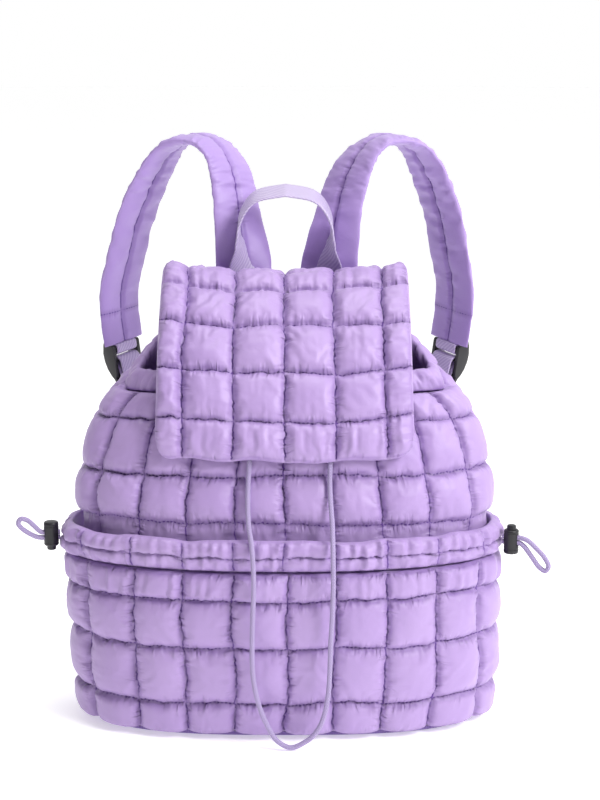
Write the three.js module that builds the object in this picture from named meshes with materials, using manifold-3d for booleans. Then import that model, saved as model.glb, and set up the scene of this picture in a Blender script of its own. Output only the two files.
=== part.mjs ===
// Quilted puffer backpack with a cover flap, a drawstring mouth and a gathered front pocket.
// Millimetres, +Z up, the front faces -Y, and the origin is on the floor under the bag's middle.

import * as THREE from 'three';
import { mergeVertices } from 'three/addons/utils/BufferGeometryUtils.js';
import Module from 'manifold-3d';

// Bag shell
const SEAM_WIDTH = 324;
const SEAM_DEPTH = 142;
const SHELL_HEIGHT = 281.7;
const MOUTH_RISE = 57;
const COLUMNS_AROUND = 20;
const SEAM_WALL = 2.5;
const PUFF_HEIGHT = 8;
const BACK_PUFF_HEIGHT = 4;
const COVERED_PUFF_HEIGHT = 1.6;
const BACK_COLUMNS = 6;
const COVERED_LEVELS = 4;

// Clearances between pieces
const SEAT_GAP = 0.3;
const SOFT_GAP = 0.9;

// Base panel
const BASE_THICKNESS = 6;
const BASE_INSET = 1.5;

// Mouth casing
const CASING_THICKNESS = 10;
const CASING_FOLD_EASE = 1.7;
const GATHERS_PER_COLUMN = 4;
const GATHER_SHRINK = 0.86;

// Front pocket and its gathered hem
const POCKET_HEIGHT = 133.7;
const POCKET_HALF_SPAN = 5.5;
const POCKET_WALL = 3.5;
const POCKET_SLACK = 9;
const POCKET_LEFT_SLACK = 7;
const POCKET_LEFT_COLUMN = -4.8;
const HEM_HEIGHT = 25;
const HEM_THICKNESS = 12;
const HEM_SETTLE = 0.8;

// Cover flap
const FLAP_HALF_WIDTH = 100;
const FLAP_SIDE_TUBE = 21;
const FLAP_DROP = 128;
const FLAP_WALL = 2.5;
const FLAP_PUFF_HEIGHT = 7.5;
const FLAP_BOW = 14;
const FLAP_LIFT = 8;
const FLAP_BACK_EASE = 2;
const FLAP_TOP_EASE = 7;
const FLAP_FRONT_EASE = 2.5;

// Webbing, cord and top handle
const WEBBING_WIDTH = 25;
const WEBBING_THICKNESS = 1.6;
const HANDLE_THICKNESS = 2;
const HANDLE_ROOT_SPACING = 70;
const HANDLE_SPAN = 76;
const HANDLE_RISE = 116;
const HANDLE_LEAN = 7;
const CORD_DIAMETER = 4;

// Shoulder straps
const STRAP_WIDTH = 48;
const STRAP_THICKNESS = 9;
const STRAP_END_THICKNESS = 5;
const STRAP_ROOT_SPACING = 72;
const STRAP_SPREAD = 110;
const STRAP_LEAN = 61;
const STRAP_RISE = 153;
const STRAP_APEX_SHIFT = 6;
const STRAP_STEPS = 24;

// Lower webbing: its tail, and where it lies on the bag's back
const TAIL_LENGTH = 62;
const WEBBING_COLUMN = 6.9;
const WEBBING_WALL_HEIGHTS = [74, 58, 42, 26];

// Ladder lock buckles
const LOCK_BAR_RADIUS = 1.8;
const LOCK_BAR_SPACING = 9;
const LOCK_DEPTH = 10.3;
const LOCK_RAIL_WIDTH = 3.5;
const LOCK_THUMB_WIDTH = 24;
const LOCK_THUMB_OFFSET = 4;

// Cord locks
const TOGGLE_RADIUS = 6;
const TOGGLE_HEIGHT = 19.8;
const TOGGLE_STANDOFF = 7.5;
const BUTTON_RADIUS = 3.7;
const BUTTON_CLEARANCE = 0.3;
const BUTTON_TRAVEL = 3;
const BUTTON_PROUD = 4;
const TOGGLE_ROOF = 4;
const BUTTON_FLOOR = 1.8;

const HALF_COLUMNS = COLUMNS_AROUND / 2;
const SHELL_BOTTOM = BASE_THICKNESS + SEAT_GAP;

// One row per seam round the shell, from the base to the mouth's rim.
// height: share of SHELL_HEIGHT. width: share of half SEAM_WIDTH. front, back: shares of half SEAM_DEPTH.
// squareness: exponent of the rounded outline. rise: share of MOUTH_RISE at the middle of the back.
const shellRows = [
  { height: 0, width: 0.975, front: 0.93, back: 0.873, squareness: 2.7, rise: 0 },
  { height: 0.148, width: 1, front: 0.986, back: 0.958, squareness: 2.5, rise: 0 },
  { height: 0.297, width: 1, front: 1, back: 0.986, squareness: 2.4, rise: 0 },
  { height: 0.446, width: 1, front: 0.986, back: 1, squareness: 2.35, rise: 0 },
  { height: 0.595, width: 1.006, front: 0.93, back: 1.014, squareness: 2.3, rise: 0.035 },
  { height: 0.723, width: 0.981, front: 0.775, back: 1.014, squareness: 2.25, rise: 0.105 },
  { height: 0.865, width: 0.907, front: 0.535, back: 0.986, squareness: 2.2, rise: 0.49 },
  { height: 0.936, width: 0.79, front: 0.38, back: 0.93, squareness: 2.15, rise: 0.91 },
  { height: 1, width: 0.728, front: 0.28, back: 0.845, squareness: 2.15, rise: 1 },
];
const CASING_LEVEL = shellRows.length - 2;
const RIM_LEVEL = shellRows.length - 1;
const POCKET_ROWS = [0, 0.185, 0.535, 0.83, 1];

// One row per seam of the flap, from the back strip to the front edge.
// forward: share of the reach from back to front. down: share of FLAP_DROP below the top.
// bow, lift: shares of FLAP_BOW and FLAP_LIFT at the side edges. bend: how late the bow sets in.
// puff: share of FLAP_PUFF_HEIGHT in the row that starts there. width: share of FLAP_HALF_WIDTH.
const flapRows = [
  { forward: 0, down: 0.39, bow: -1, lift: 0, bend: 5, puff: 0, width: 0.96 },
  { forward: 0, down: 0.14, bow: -1, lift: 0, bend: 5, puff: 0.1, width: 0.96 },
  { forward: 0.1, down: 0.023, bow: -0.57, lift: 0.75, bend: 4, puff: 0.7, width: 0.98 },
  { forward: 0.24, down: 0, bow: -0.21, lift: 1, bend: 3, puff: 0.9, width: 0.99 },
  { forward: 0.415, down: 0.078, bow: 0, lift: 1, bend: 2, puff: 1, width: 0.995 },
  { forward: 0.624, down: 0.258, bow: 0.21, lift: 0.75, bend: 2, puff: 1, width: 1 },
  { forward: 0.798, down: 0.508, bow: 0.36, lift: 0.62, bend: 2, puff: 1, width: 1.005 },
  { forward: 0.93, down: 0.781, bow: 0.57, lift: 0.5, bend: 2, puff: 0.9, width: 1.01 },
  { forward: 1, down: 1, bow: 0.71, lift: 0, bend: 2, puff: 0, width: 1.02 },
];

// One row per turn of a shoulder strap's centreline, from the root to the buckle end.
// out, back, up: shares of STRAP_SPREAD, STRAP_LEAN and STRAP_RISE. turn: degrees that the width
// stands from the front-to-back direction. fullness: 0 for a flat stitched end, 1 for full padding.
const strapRows = [
  { out: 0, back: 0, up: 0, turn: 90, fullness: 0 },
  { out: 0, back: 0.02, up: 0.22, turn: 88, fullness: 0.2 },
  { out: 0, back: 0.03, up: 0.32, turn: 75, fullness: 0.8 },
  { out: 0.055, back: 0.14, up: 0.58, turn: 52, fullness: 1 },
  { out: 0.09, back: 0.23, up: 0.71, turn: 47, fullness: 1 },
  { out: 0.136, back: 0.31, up: 0.817, turn: 42, fullness: 1 },
  { out: 0.22, back: 0.39, up: 0.918, turn: 32, fullness: 1 },
  { out: 0.345, back: 0.49, up: 0.98, turn: 25, fullness: 1 },
  { out: 0.49, back: 0.59, up: 0.98, turn: 25, fullness: 1 },
  { out: 0.625, back: 0.67, up: 0.925, turn: 30, fullness: 1 },
  { out: 0.73, back: 0.74, up: 0.8, turn: 35, fullness: 1 },
  { out: 0.8, back: 0.79, up: 0.69, turn: 38, fullness: 1 },
  { out: 0.89, back: 0.85, up: 0.51, turn: 38, fullness: 1 },
  { out: 0.945, back: 0.9, up: 0.327, turn: 38, fullness: 1 },
  { out: 1, back: 0.95, up: 0.14, turn: 38, fullness: 0.8 },
  { out: 1, back: 0.98, up: -0.013, turn: 38, fullness: 0.15 },
  { out: 0.973, back: 1, up: -0.177, turn: 38, fullness: 0 },
];

// Both arches lean a little to the right at their tops; side is -1 on the left.
const strapSides = [
  { name: 'left', side: -1 },
  { name: 'right', side: 1 },
];

// Chosen route of the drawcord's centreline, from the mouth down, along the floor and up again.
const drawcordRoute = [
  [-27, -27.9, 280], [-27, -32, 278.5], [-27, -36, 272], [-27.2, -42, 262], [-27.3, -50, 246],
  [-27, -57.2, 230], [-28, -62.5, 212], [-28.4, -71, 194], [-27.4, -80, 177], [-25.2, -91.5, 166.5],
  [-23.8, -97.5, 150], [-23.6, -98.5, 130], [-24.4, -98, 110], [-25, -98, 86], [-24.4, -97.5, 62],
  [-20.5, -97, 40], [-13.5, -96.5, 21], [-5.5, -96.8, 8], [5, -97, 2.8], [15.5, -96.8, 7],
  [23.8, -96.5, 14], [30, -96.6, 26], [33.6, -97, 43], [35.1, -97.6, 63], [35.8, -98, 88],
  [37, -98.5, 111], [37.7, -98.5, 136], [37.6, -97, 152], [37.4, -91.5, 166.5], [37.2, -80, 178],
  [36, -71, 194], [35.3, -62.5, 210], [36, -57.2, 228], [36, -50, 246], [36, -42, 262],
  [36, -36, 272], [36, -32, 278.5], [36, -27.4, 280],
];

// Chosen routes of the pocket cords, as [out, up] from the hem's face through the toggle and back.
const pocketCordSides = [
  {
    name: 'left', column: -4.75, buttonUp: -1,
    route: [[0, -2.15], [15, -2.15], [20, -1], [26, 2.5], [31, 6.5], [33.5, 10.5], [31.5, 14],
      [26.5, 13], [20.5, 7.5], [16, 3], [13, 2.15], [0, 2.15]],
  },
  {
    name: 'right', column: 4.5, buttonUp: 1,
    route: [[0, 2.15], [15, 2.15], [21, 0.5], [28, -5], [35, -12], [38.5, -19], [36, -23],
      [31, -20.5], [24.5, -12.5], [18, -4.6], [14, -2.15], [0, -2.15]],
  },
];

const vec = (x, y, z) => new THREE.Vector3(x, y, z);
const lerp = THREE.MathUtils.lerp;

// Smooth value of a table's column at a fractional row, level where the column turns back
function rowValue(rows, key, at) {
  const last = rows.length - 1;
  const start = THREE.MathUtils.clamp(Math.floor(at), 0, last - 1);
  const pick = (row) => rows[THREE.MathUtils.clamp(row, 0, last)][key];
  const t = at - start;
  const from = pick(start);
  const to = pick(start + 1);
  const slope = (row) => {
    const before = pick(row) - pick(row - 1);
    const after = pick(row + 1) - pick(row);
    if (row <= 0 || row >= last) {
      return before + after;
    }
    return before * after > 0 ? (before + after) / 2 : 0;
  };
  const leave = slope(start);
  const arrive = slope(start + 1);
  const cubic = (2 * from - 2 * to + leave + arrive) * t * t * t;
  const square = (-3 * from + 3 * to - 2 * leave - arrive) * t * t;
  return cubic + square + leave * t + from;
}

// Closed body from shared vertices, turned so that its faces point out
function closedGeometry(points, faces) {
  let volume = 0;
  for (const [a, b, c] of faces) {
    volume += points[a].dot(vec(0, 0, 0).crossVectors(points[b], points[c]));
  }
  const ordered = volume < 0 ? faces.map(([a, b, c]) => [a, c, b]) : faces;
  const geometry = new THREE.BufferGeometry();
  geometry.setAttribute('position', new THREE.Float32BufferAttribute(points.flatMap((p) => p.toArray()), 3));
  geometry.setIndex(ordered.flat());
  geometry.computeVertexNormals();
  return geometry;
}

// Body through rings of equal size; its ends are capped, or joined where it is a closed ring
function sweptGeometry(rings, profile, closed = false) {
  const points = rings.flat();
  const size = profile.length;
  const faces = [];
  const spans = closed ? rings.length : rings.length - 1;
  for (let i = 0; i < spans; i += 1) {
    const here = i * size;
    const next = ((i + 1) % rings.length) * size;
    for (let k = 0; k < size; k += 1) {
      const n = (k + 1) % size;
      faces.push([here + k, here + n, next + n], [here + k, next + n, next + k]);
    }
  }
  if (!closed) {
    const end = (rings.length - 1) * size;
    for (const [a, b, c] of THREE.ShapeUtils.triangulateShape(profile, [])) {
      faces.push([a, c, b], [end + a, end + b, end + c]);
    }
  }
  return closedGeometry(points, faces);
}

const PUFF_POWER = 2.4;
const CELL_STEPS = [0, 0.25, 0.75];
const puffShare = (s) => Math.sqrt(1 - Math.abs(2 * s - 1) ** PUFF_POWER);
const PUFF_TOP = puffShare(CELL_STEPS[1]) ** 2;

// Positions across quilted cells, with how much of the puff each one has
function cellStations(seams, steps) {
  const stations = [];
  for (let i = 0; i < seams.length - 1; i += 1) {
    for (const step of steps) {
      stations.push({ at: lerp(seams[i], seams[i + 1], step), puff: puffShare(step), cell: i });
    }
  }
  stations.push({ at: seams[seams.length - 1], puff: 0, cell: seams.length - 2 });
  return stations;
}

// Triangles between an outer and an inner edge that have different numbers of points
function zipEdges(outer, inner, flip) {
  const faces = [];
  let i = 0;
  let k = 0;
  while (i < outer.length - 1 || k < inner.length - 1) {
    const outerNext = i < outer.length - 1 ? outer[i + 1].at : Infinity;
    const innerNext = k < inner.length - 1 ? inner[k + 1].at : Infinity;
    if (outerNext <= innerNext) {
      const face = [outer[i].id, outer[i + 1].id, inner[k].id];
      faces.push(flip ? [face[1], face[0], face[2]] : face);
      i += 1;
    } else {
      const face = [inner[k + 1].id, inner[k].id, outer[i].id];
      faces.push(flip ? [face[1], face[0], face[2]] : face);
      k += 1;
    }
  }
  return faces;
}

// Quilted wall between an outer face with puffs and a plain inner face
function quiltedWall({ columns, rows, outer, inner, innerSteps, closed }) {
  const points = [];
  const faces = [];
  const grid = (across, along, place, flip) => {
    const width = closed ? across.length - 1 : across.length;
    const ids = across.map((c, i) => (i < width
      ? along.map((r) => points.push(place(c, r)) - 1)
      : null));
    if (closed) {
      ids[width] = ids[0];
    }
    for (let i = 0; i < across.length - 1; i += 1) {
      for (let j = 0; j < along.length - 1; j += 1) {
        const [a, b, c, d] = [ids[i][j], ids[i + 1][j], ids[i + 1][j + 1], ids[i][j + 1]];
        faces.push(...(flip ? [[a, c, b], [a, d, c]] : [[a, b, c], [a, c, d]]));
      }
    }
    return {
      row: (j) => across.map((c, i) => ({ at: c.at, id: ids[i][j] })),
      column: (i) => along.map((r, j) => ({ at: r.at, id: ids[i][j] })),
      lastRow: along.length - 1,
      lastColumn: across.length - 1,
    };
  };
  const outside = grid(cellStations(columns, CELL_STEPS), cellStations(rows, CELL_STEPS), outer, false);
  const inside = grid(cellStations(columns, innerSteps), cellStations(rows, [0]), inner, true);
  faces.push(...zipEdges(outside.row(0), inside.row(0), true));
  faces.push(...zipEdges(outside.row(outside.lastRow), inside.row(inside.lastRow), false));
  if (!closed) {
    faces.push(...zipEdges(outside.column(0), inside.column(0), false));
    faces.push(...zipEdges(outside.column(outside.lastColumn), inside.column(inside.lastColumn), true));
  }
  return closedGeometry(points, faces);
}

// Plan outline of the shell at a level, with lengths along its half from front to back
const OUTLINE_SAMPLES = 120;
const outlines = new Map();
function shellOutline(level) {
  const key = level.toFixed(4);
  if (!outlines.has(key)) {
    const size = (name) => rowValue(shellRows, name, level);
    const outline = {
      z: SHELL_BOTTOM + size('height') * SHELL_HEIGHT,
      width: (size('width') * SEAM_WIDTH) / 2,
      front: (size('front') * SEAM_DEPTH) / 2,
      back: (size('back') * SEAM_DEPTH) / 2,
      power: 2 / size('squareness'),
      rise: size('rise') * MOUTH_RISE,
      lengths: [0],
    };
    let before = outlinePoint(outline, 0);
    for (let i = 1; i <= OUTLINE_SAMPLES; i += 1) {
      const point = outlinePoint(outline, (Math.PI * i) / OUTLINE_SAMPLES);
      outline.lengths.push(outline.lengths[i - 1] + Math.hypot(point.x - before.x, point.y - before.y));
      before = point;
    }
    outlines.set(key, outline);
  }
  return outlines.get(key);
}

// Point of an outline at an angle from the front, which is 0, to the back
const RISE_POWER = 1.5;
function outlinePoint(outline, angle) {
  const ahead = Math.cos(angle);
  const depth = ahead > 0 ? -outline.front : outline.back;
  const x = outline.width * Math.abs(Math.sin(angle)) ** outline.power;
  const y = depth * Math.abs(ahead) ** outline.power;
  return vec(x, y, outline.z + outline.rise * Math.max(0, -ahead) ** RISE_POWER);
}

// Point of the seam surface: columns count from 0 at the front to HALF_COLUMNS at the back
function shellPoint(column, level) {
  const turns = Math.round(column / COLUMNS_AROUND);
  const signed = column - turns * COLUMNS_AROUND;
  const outline = shellOutline(level);
  const target = (Math.abs(signed) / HALF_COLUMNS) * outline.lengths[OUTLINE_SAMPLES];
  let i = 0;
  while (i < OUTLINE_SAMPLES - 1 && outline.lengths[i + 1] < target) {
    i += 1;
  }
  const span = outline.lengths[i + 1] - outline.lengths[i];
  const angle = (Math.PI * (i + (target - outline.lengths[i]) / span)) / OUTLINE_SAMPLES;
  const point = outlinePoint(outline, angle);
  return signed < 0 ? point.setX(-point.x) : point;
}

// Point of the seam surface with its directions across, up and out
const PROBE = 0.15;
function shellFrame(column, level) {
  const across = shellPoint(column + PROBE, level).sub(shellPoint(column - PROBE, level)).normalize();
  const rise = shellPoint(column, level + PROBE).sub(shellPoint(column, level - PROBE)).normalize();
  const out = vec(0, 0, 0).crossVectors(across, rise).normalize();
  const up = vec(0, 0, 0).crossVectors(out, across).normalize();
  return { point: shellPoint(column, level), across, up, out };
}

function shellAt(column, level, offset) {
  const frame = shellFrame(column, level);
  return frame.point.addScaledVector(frame.out, offset);
}

// Level at which the front of the shell has a height
function levelAt(z) {
  let low = 0;
  let high = RIM_LEVEL;
  for (let i = 0; i < 30; i += 1) {
    const middle = (low + high) / 2;
    if (shellOutline(middle).z < z) {
      low = middle;
    } else {
      high = middle;
    }
  }
  return low;
}

const range = (from, to) => Array.from({ length: to - from + 1 }, (_, i) => from + i);

function shellPuff(column, level) {
  const aside = Math.abs(column);
  if (aside > BACK_COLUMNS) {
    return BACK_PUFF_HEIGHT;
  }
  return level < COVERED_LEVELS && aside < POCKET_HALF_SPAN + 0.5 ? COVERED_PUFF_HEIGHT : PUFF_HEIGHT;
}

function bagBody() {
  return quiltedWall({
    columns: range(-HALF_COLUMNS, HALF_COLUMNS),
    rows: range(0, CASING_LEVEL),
    outer: (c, r) => shellAt(c.at, r.at, c.puff * r.puff * shellPuff(c.cell + 0.5 - HALF_COLUMNS, r.cell)),
    inner: (c, r) => shellAt(c.at, r.at, -SEAM_WALL),
    innerSteps: [0],
    closed: true,
  });
}

// How far the pocket's inner face stands off the shell; it is slack at its middle and its top
const pocketShare = (z) => (z - SHELL_BOTTOM) / (POCKET_HEIGHT + HEM_HEIGHT);
function pocketStandoff(column, z) {
  const share = THREE.MathUtils.clamp(pocketShare(z), 0, 1);
  const middle = 1 - (column / POCKET_HALF_SPAN) ** 2;
  const corner = Math.exp(-((column - POCKET_LEFT_COLUMN) ** 2) / 1.6);
  return COVERED_PUFF_HEIGHT + SOFT_GAP + POCKET_SLACK * middle * share ** 1.2
    + POCKET_LEFT_SLACK * corner * share ** 2;
}

function pocketAt(column, z, offset) {
  const frame = shellFrame(column, levelAt(z));
  const level = frame.out.setZ(0).normalize();
  return frame.point.addScaledVector(level, pocketStandoff(column, z) + offset);
}

const pocketRowZ = (row) => SHELL_BOTTOM + row * POCKET_HEIGHT;
const pocketColumns = [-POCKET_HALF_SPAN, ...range(-5, 5), POCKET_HALF_SPAN];

function frontPocket() {
  return quiltedWall({
    columns: pocketColumns,
    rows: POCKET_ROWS,
    outer: (c, r) => pocketAt(c.at, pocketRowZ(r.at), POCKET_WALL + c.puff * r.puff * PUFF_HEIGHT),
    inner: (c, r) => pocketAt(c.at, pocketRowZ(r.at), 0),
    innerSteps: CELL_STEPS,
    closed: false,
  });
}

// Section of a gathered tube, as shares of its half height and half thickness
function tubeProfile(sides, squareness) {
  return Array.from({ length: sides }, (_, k) => {
    const angle = (2 * Math.PI * (k + 0.5)) / sides;
    const square = (v) => Math.sign(v) * Math.abs(v) ** squareness;
    return new THREE.Vector2(square(Math.cos(angle)), square(Math.sin(angle)));
  });
}

const hemMiddle = SHELL_BOTTOM + POCKET_HEIGHT + SEAT_GAP - HEM_SETTLE + HEM_HEIGHT / 2;
const hemProfile = tubeProfile(10, 0.7);
const gatherScale = (i) => (i % 2 ? GATHER_SHRINK : 1);

function pocketHem() {
  const steps = Math.round(2 * POCKET_HALF_SPAN * GATHERS_PER_COLUMN);
  const rings = Array.from({ length: steps + 1 }, (_, i) => {
    const column = lerp(-POCKET_HALF_SPAN, POCKET_HALF_SPAN, i / steps);
    const frame = shellFrame(column, levelAt(hemMiddle));
    const half = (HEM_THICKNESS / 2) * gatherScale(i);
    const standoff = pocketStandoff(column, hemMiddle) + half;
    return hemProfile.map((p) => frame.point.clone()
      .addScaledVector(frame.out, standoff + p.x * half)
      .addScaledVector(vec(0, 0, 1), (p.y * HEM_HEIGHT) / 2));
  });
  return sweptGeometry(rings, hemProfile);
}

function mouthCasing() {
  const profile = tubeProfile(8, 1);
  const steps = COLUMNS_AROUND * 3;
  const rings = Array.from({ length: steps }, (_, i) => {
    const column = (i * COLUMNS_AROUND) / steps - HALF_COLUMNS;
    const bottom = shellFrame(column, CASING_LEVEL);
    const rim = shellPoint(column, RIM_LEVEL);
    const up = rim.clone().sub(bottom.point).normalize();
    const out = vec(0, 0, 0).crossVectors(bottom.across, up).normalize();
    const fold = (CASING_THICKNESS / 2) * up.clone().cross(bottom.up).length();
    const foot = bottom.point.clone().addScaledVector(up, SEAT_GAP + CASING_FOLD_EASE * fold);
    const halfHeight = rim.distanceTo(foot) / 2;
    const half = (CASING_THICKNESS / 2) * gatherScale(i);
    return profile.map((p) => foot.clone()
      .addScaledVector(up, halfHeight * (1 + p.y))
      .addScaledVector(out, p.x * half - SEAM_WALL / 2));
  });
  return sweptGeometry(rings, profile, true);
}

function basePanel() {
  const steps = COLUMNS_AROUND * 3;
  const shape = new THREE.Shape(Array.from({ length: steps }, (_, i) => {
    const column = (i * COLUMNS_AROUND) / steps - HALF_COLUMNS;
    const pocket = Math.abs(column) < POCKET_HALF_SPAN ? pocketStandoff(column, SHELL_BOTTOM) + POCKET_WALL : 0;
    const point = shellAt(column, 0, pocket - BASE_INSET);
    return new THREE.Vector2(point.x, point.y);
  }));
  return new THREE.ExtrudeGeometry(shape, { depth: BASE_THICKNESS, bevelEnabled: false });
}

// Flap: its back face stands off the shell's back, its top off the casing and its front off the cord
const FLAP_LAST_ROW = flapRows.length - 1;
const flapBackY = shellPoint(HALF_COLUMNS, CASING_LEVEL - 1).y + BACK_PUFF_HEIGHT + FLAP_BACK_EASE + FLAP_WALL;
const flapTopZ = shellPoint(HALF_COLUMNS, RIM_LEVEL).z + FLAP_TOP_EASE + FLAP_WALL;
const flapHemY = shellPoint(0, levelAt(flapTopZ - FLAP_DROP)).y
  - PUFF_HEIGHT - CORD_DIAMETER - FLAP_FRONT_EASE - FLAP_WALL;

function flapPoint(share, row) {
  const size = (name) => rowValue(flapRows, name, row);
  const side = Math.abs(share);
  const bow = FLAP_BOW * size('bow') * side ** size('bend');
  const lift = FLAP_LIFT * size('lift') * side ** 2;
  const y = lerp(flapBackY, flapHemY, size('forward')) + bow;
  return vec(share * FLAP_HALF_WIDTH * size('width'), y, flapTopZ - size('down') * FLAP_DROP + lift);
}

function flapAt(share, row, offset) {
  const across = flapPoint(share + 0.02, row).sub(flapPoint(share - 0.02, row));
  const along = flapPoint(share, row - 0.05).sub(flapPoint(share, row + 0.05));
  const out = vec(0, 0, 0).crossVectors(across, along).normalize();
  return flapPoint(share, row).addScaledVector(out, offset);
}

function coverFlap() {
  const tube = 1 - FLAP_SIDE_TUBE / FLAP_HALF_WIDTH;
  return quiltedWall({
    columns: [-1, -tube, -tube / 2, 0, tube / 2, tube, 1],
    rows: range(0, FLAP_LAST_ROW),
    outer: (c, r) => flapAt(c.at, r.at, c.puff * r.puff * FLAP_PUFF_HEIGHT * flapRows[r.cell].puff),
    inner: (c, r) => flapAt(c.at, r.at, -FLAP_WALL),
    innerSteps: [0],
    closed: false,
  });
}

// Flat band along stations that each have a place and a direction for its width
function bandGeometry(stations, width, thickness) {
  const halfWidth = width / 2;
  const half = thickness / 2;
  const profile = [[-1, -1], [1, -1], [1, 1], [-1, 1]].map(([x, y]) => new THREE.Vector2(x, y));
  const rings = stations.map((station, i) => {
    const before = stations[Math.max(i - 1, 0)].at;
    const after = stations[Math.min(i + 1, stations.length - 1)].at;
    const along = after.clone().sub(before).normalize();
    const across = station.across.clone().addScaledVector(along, -along.dot(station.across)).normalize();
    const out = vec(0, 0, 0).crossVectors(along, across);
    return profile.map((p) => station.at.clone()
      .addScaledVector(across, p.x * halfWidth)
      .addScaledVector(out, p.y * half));
  });
  return sweptGeometry(rings, profile);
}

// Top handle: flat on the flap's back strip at its roots, turned a quarter over its rise
const handleRootZ = flapTopZ - flapRows[0].down * FLAP_DROP + 2;
const handleY = flapBackY + SEAT_GAP + HANDLE_THICKNESS / 2;
const handleRows = [
  { out: 0, up: 0, lean: 0, twist: 0 },
  { out: 0.05, up: 0.15, lean: 0, twist: 0 },
  { out: 0.2, up: 0.3, lean: 0, twist: 4 },
  { out: 0.7, up: 0.45, lean: 0.3, twist: 22 },
  { out: 1, up: 0.6, lean: 0.7, twist: 58 },
  { out: 1.02, up: 0.72, lean: 1, twist: 84 },
  { out: 0.9, up: 0.86, lean: 1, twist: 90 },
  { out: 0.6, up: 0.96, lean: 1, twist: 90 },
  { out: 0, up: 1, lean: 1, twist: 90 },
];
const HANDLE_WIDEST_ROW = 4;
const HANDLE_STEPS = 20;

function topHandle() {
  const rows = handleRows.length - 1;
  const stations = Array.from({ length: 2 * HANDLE_STEPS + 1 }, (_, i) => {
    const side = i < HANDLE_STEPS ? -1 : 1;
    const row = rows * (1 - Math.abs(i / HANDLE_STEPS - 1));
    const size = (name) => rowValue(handleRows, name, row);
    const reach = row < HANDLE_WIDEST_ROW
      ? lerp(HANDLE_ROOT_SPACING, HANDLE_SPAN, size('out'))
      : HANDLE_SPAN * size('out');
    const twist = THREE.MathUtils.degToRad(size('twist'));
    return {
      at: vec((side * reach) / 2, handleY - HANDLE_LEAN * size('lean'), handleRootZ + HANDLE_RISE * size('up')),
      across: vec(-side * Math.cos(twist), Math.sin(twist), 0),
    };
  });
  return bandGeometry(stations, WEBBING_WIDTH, HANDLE_THICKNESS);
}

// Shoulder strap's station: its place and its directions along, across and to the outside
const strapRootY = handleY + HANDLE_THICKNESS / 2 + SEAT_GAP + STRAP_END_THICKNESS / 2;
const strapRootZ = handleRootZ + 4;
function strapCurve({ side }) {
  return new THREE.CatmullRomCurve3(strapRows.map((row, i) => vec(
    side * (STRAP_ROOT_SPACING / 2 + row.out * STRAP_SPREAD)
      + STRAP_APEX_SHIFT * Math.sin((Math.PI * i) / (strapRows.length - 1)) ** 2,
    strapRootY + row.back * STRAP_LEAN,
    strapRootZ + row.up * STRAP_RISE,
  )));
}

function strapFrame(strap, share) {
  const curve = strapCurve(strap);
  const along = curve.getPoint(Math.min(share + 0.01, 1)).sub(curve.getPoint(Math.max(share - 0.01, 0))).normalize();
  const turn = THREE.MathUtils.degToRad(rowValue(strapRows, 'turn', share * (strapRows.length - 1)));
  const across = vec(-strap.side * Math.sin(turn), Math.cos(turn), 0);
  across.addScaledVector(along, -along.dot(across)).normalize();
  const out = vec(0, 0, 0).crossVectors(along, across).multiplyScalar(strap.side);
  return { at: curve.getPoint(share), along, across, out };
}

// Padded section with a stitched groove down the middle of both faces
const strapProfile = [
  [-1, 0], [-0.82, -1], [-0.3, -1], [0, -0.5], [0.3, -1], [0.82, -1],
  [1, 0], [0.82, 1], [0.3, 1], [0, 0.5], [-0.3, 1], [-0.82, 1],
].map(([x, y]) => new THREE.Vector2(x, y));

function shoulderStrap(strap) {
  const rings = Array.from({ length: STRAP_STEPS + 1 }, (_, i) => {
    const share = i / STRAP_STEPS;
    const frame = strapFrame(strap, share);
    const fullness = rowValue(strapRows, 'fullness', share * (strapRows.length - 1));
    const half = lerp(STRAP_END_THICKNESS, STRAP_THICKNESS, THREE.MathUtils.clamp(fullness, 0, 1)) / 2;
    return strapProfile.map((p) => frame.at.clone()
      .addScaledVector(frame.across, (p.x * STRAP_WIDTH) / 2)
      .addScaledVector(frame.out, p.y * half));
  });
  return sweptGeometry(rings, strapProfile);
}

// Directions at the strap's end: x is across the strap, y to its outside and z up along it
function strapEndMatrix(strap) {
  const frame = strapFrame(strap, 1);
  const up = frame.along.clone().negate();
  const across = vec(0, 0, 0).crossVectors(frame.out, up).normalize();
  return new THREE.Matrix4().makeBasis(across, frame.out, up).setPosition(frame.at);
}

// Ladder lock, drawn in the plane of down and out from the strap's end
const barClearance = LOCK_BAR_RADIUS + SEAT_GAP;
const firstBarDown = SEAT_GAP + WEBBING_THICKNESS + barClearance + 2;
const lockRailSpacing = WEBBING_WIDTH + 2;

// Places on the lock's side view: down is in bar spacings below the first bar, out is a share of LOCK_DEPTH.
const lockPlace = ([down, out]) => [firstBarDown + down * LOCK_BAR_SPACING, out * LOCK_DEPTH];
const lockBars = [[0, 0], [1, 0.29], [2, 0.1]].map(lockPlace).map(([down, out]) => ({ down, out }));
const railOutline = [
  [-1.22, 0.49], [-1.11, 0.68], [-0.56, 0.87], [0.22, 1], [1, 0.95], [1.78, 0.73], [2.39, 0.41], [2.78, 0.1],
  [2.67, -0.1], [2.22, -0.23], [1.11, -0.23], [-0.39, -0.23], [-0.56, -0.1], [-0.56, 0.33], [-1.06, 0.35],
].map(lockPlace);
const thumbOutline = [
  [1.83, 0.25], [2.44, 0.35], [3, 0.12], [3.56, -0.02], [4, 0.04],
  [4.07, -0.12], [3.56, -0.23], [2.94, -0.14], [2.44, 0.08], [2.11, 0],
].map(lockPlace);

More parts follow.
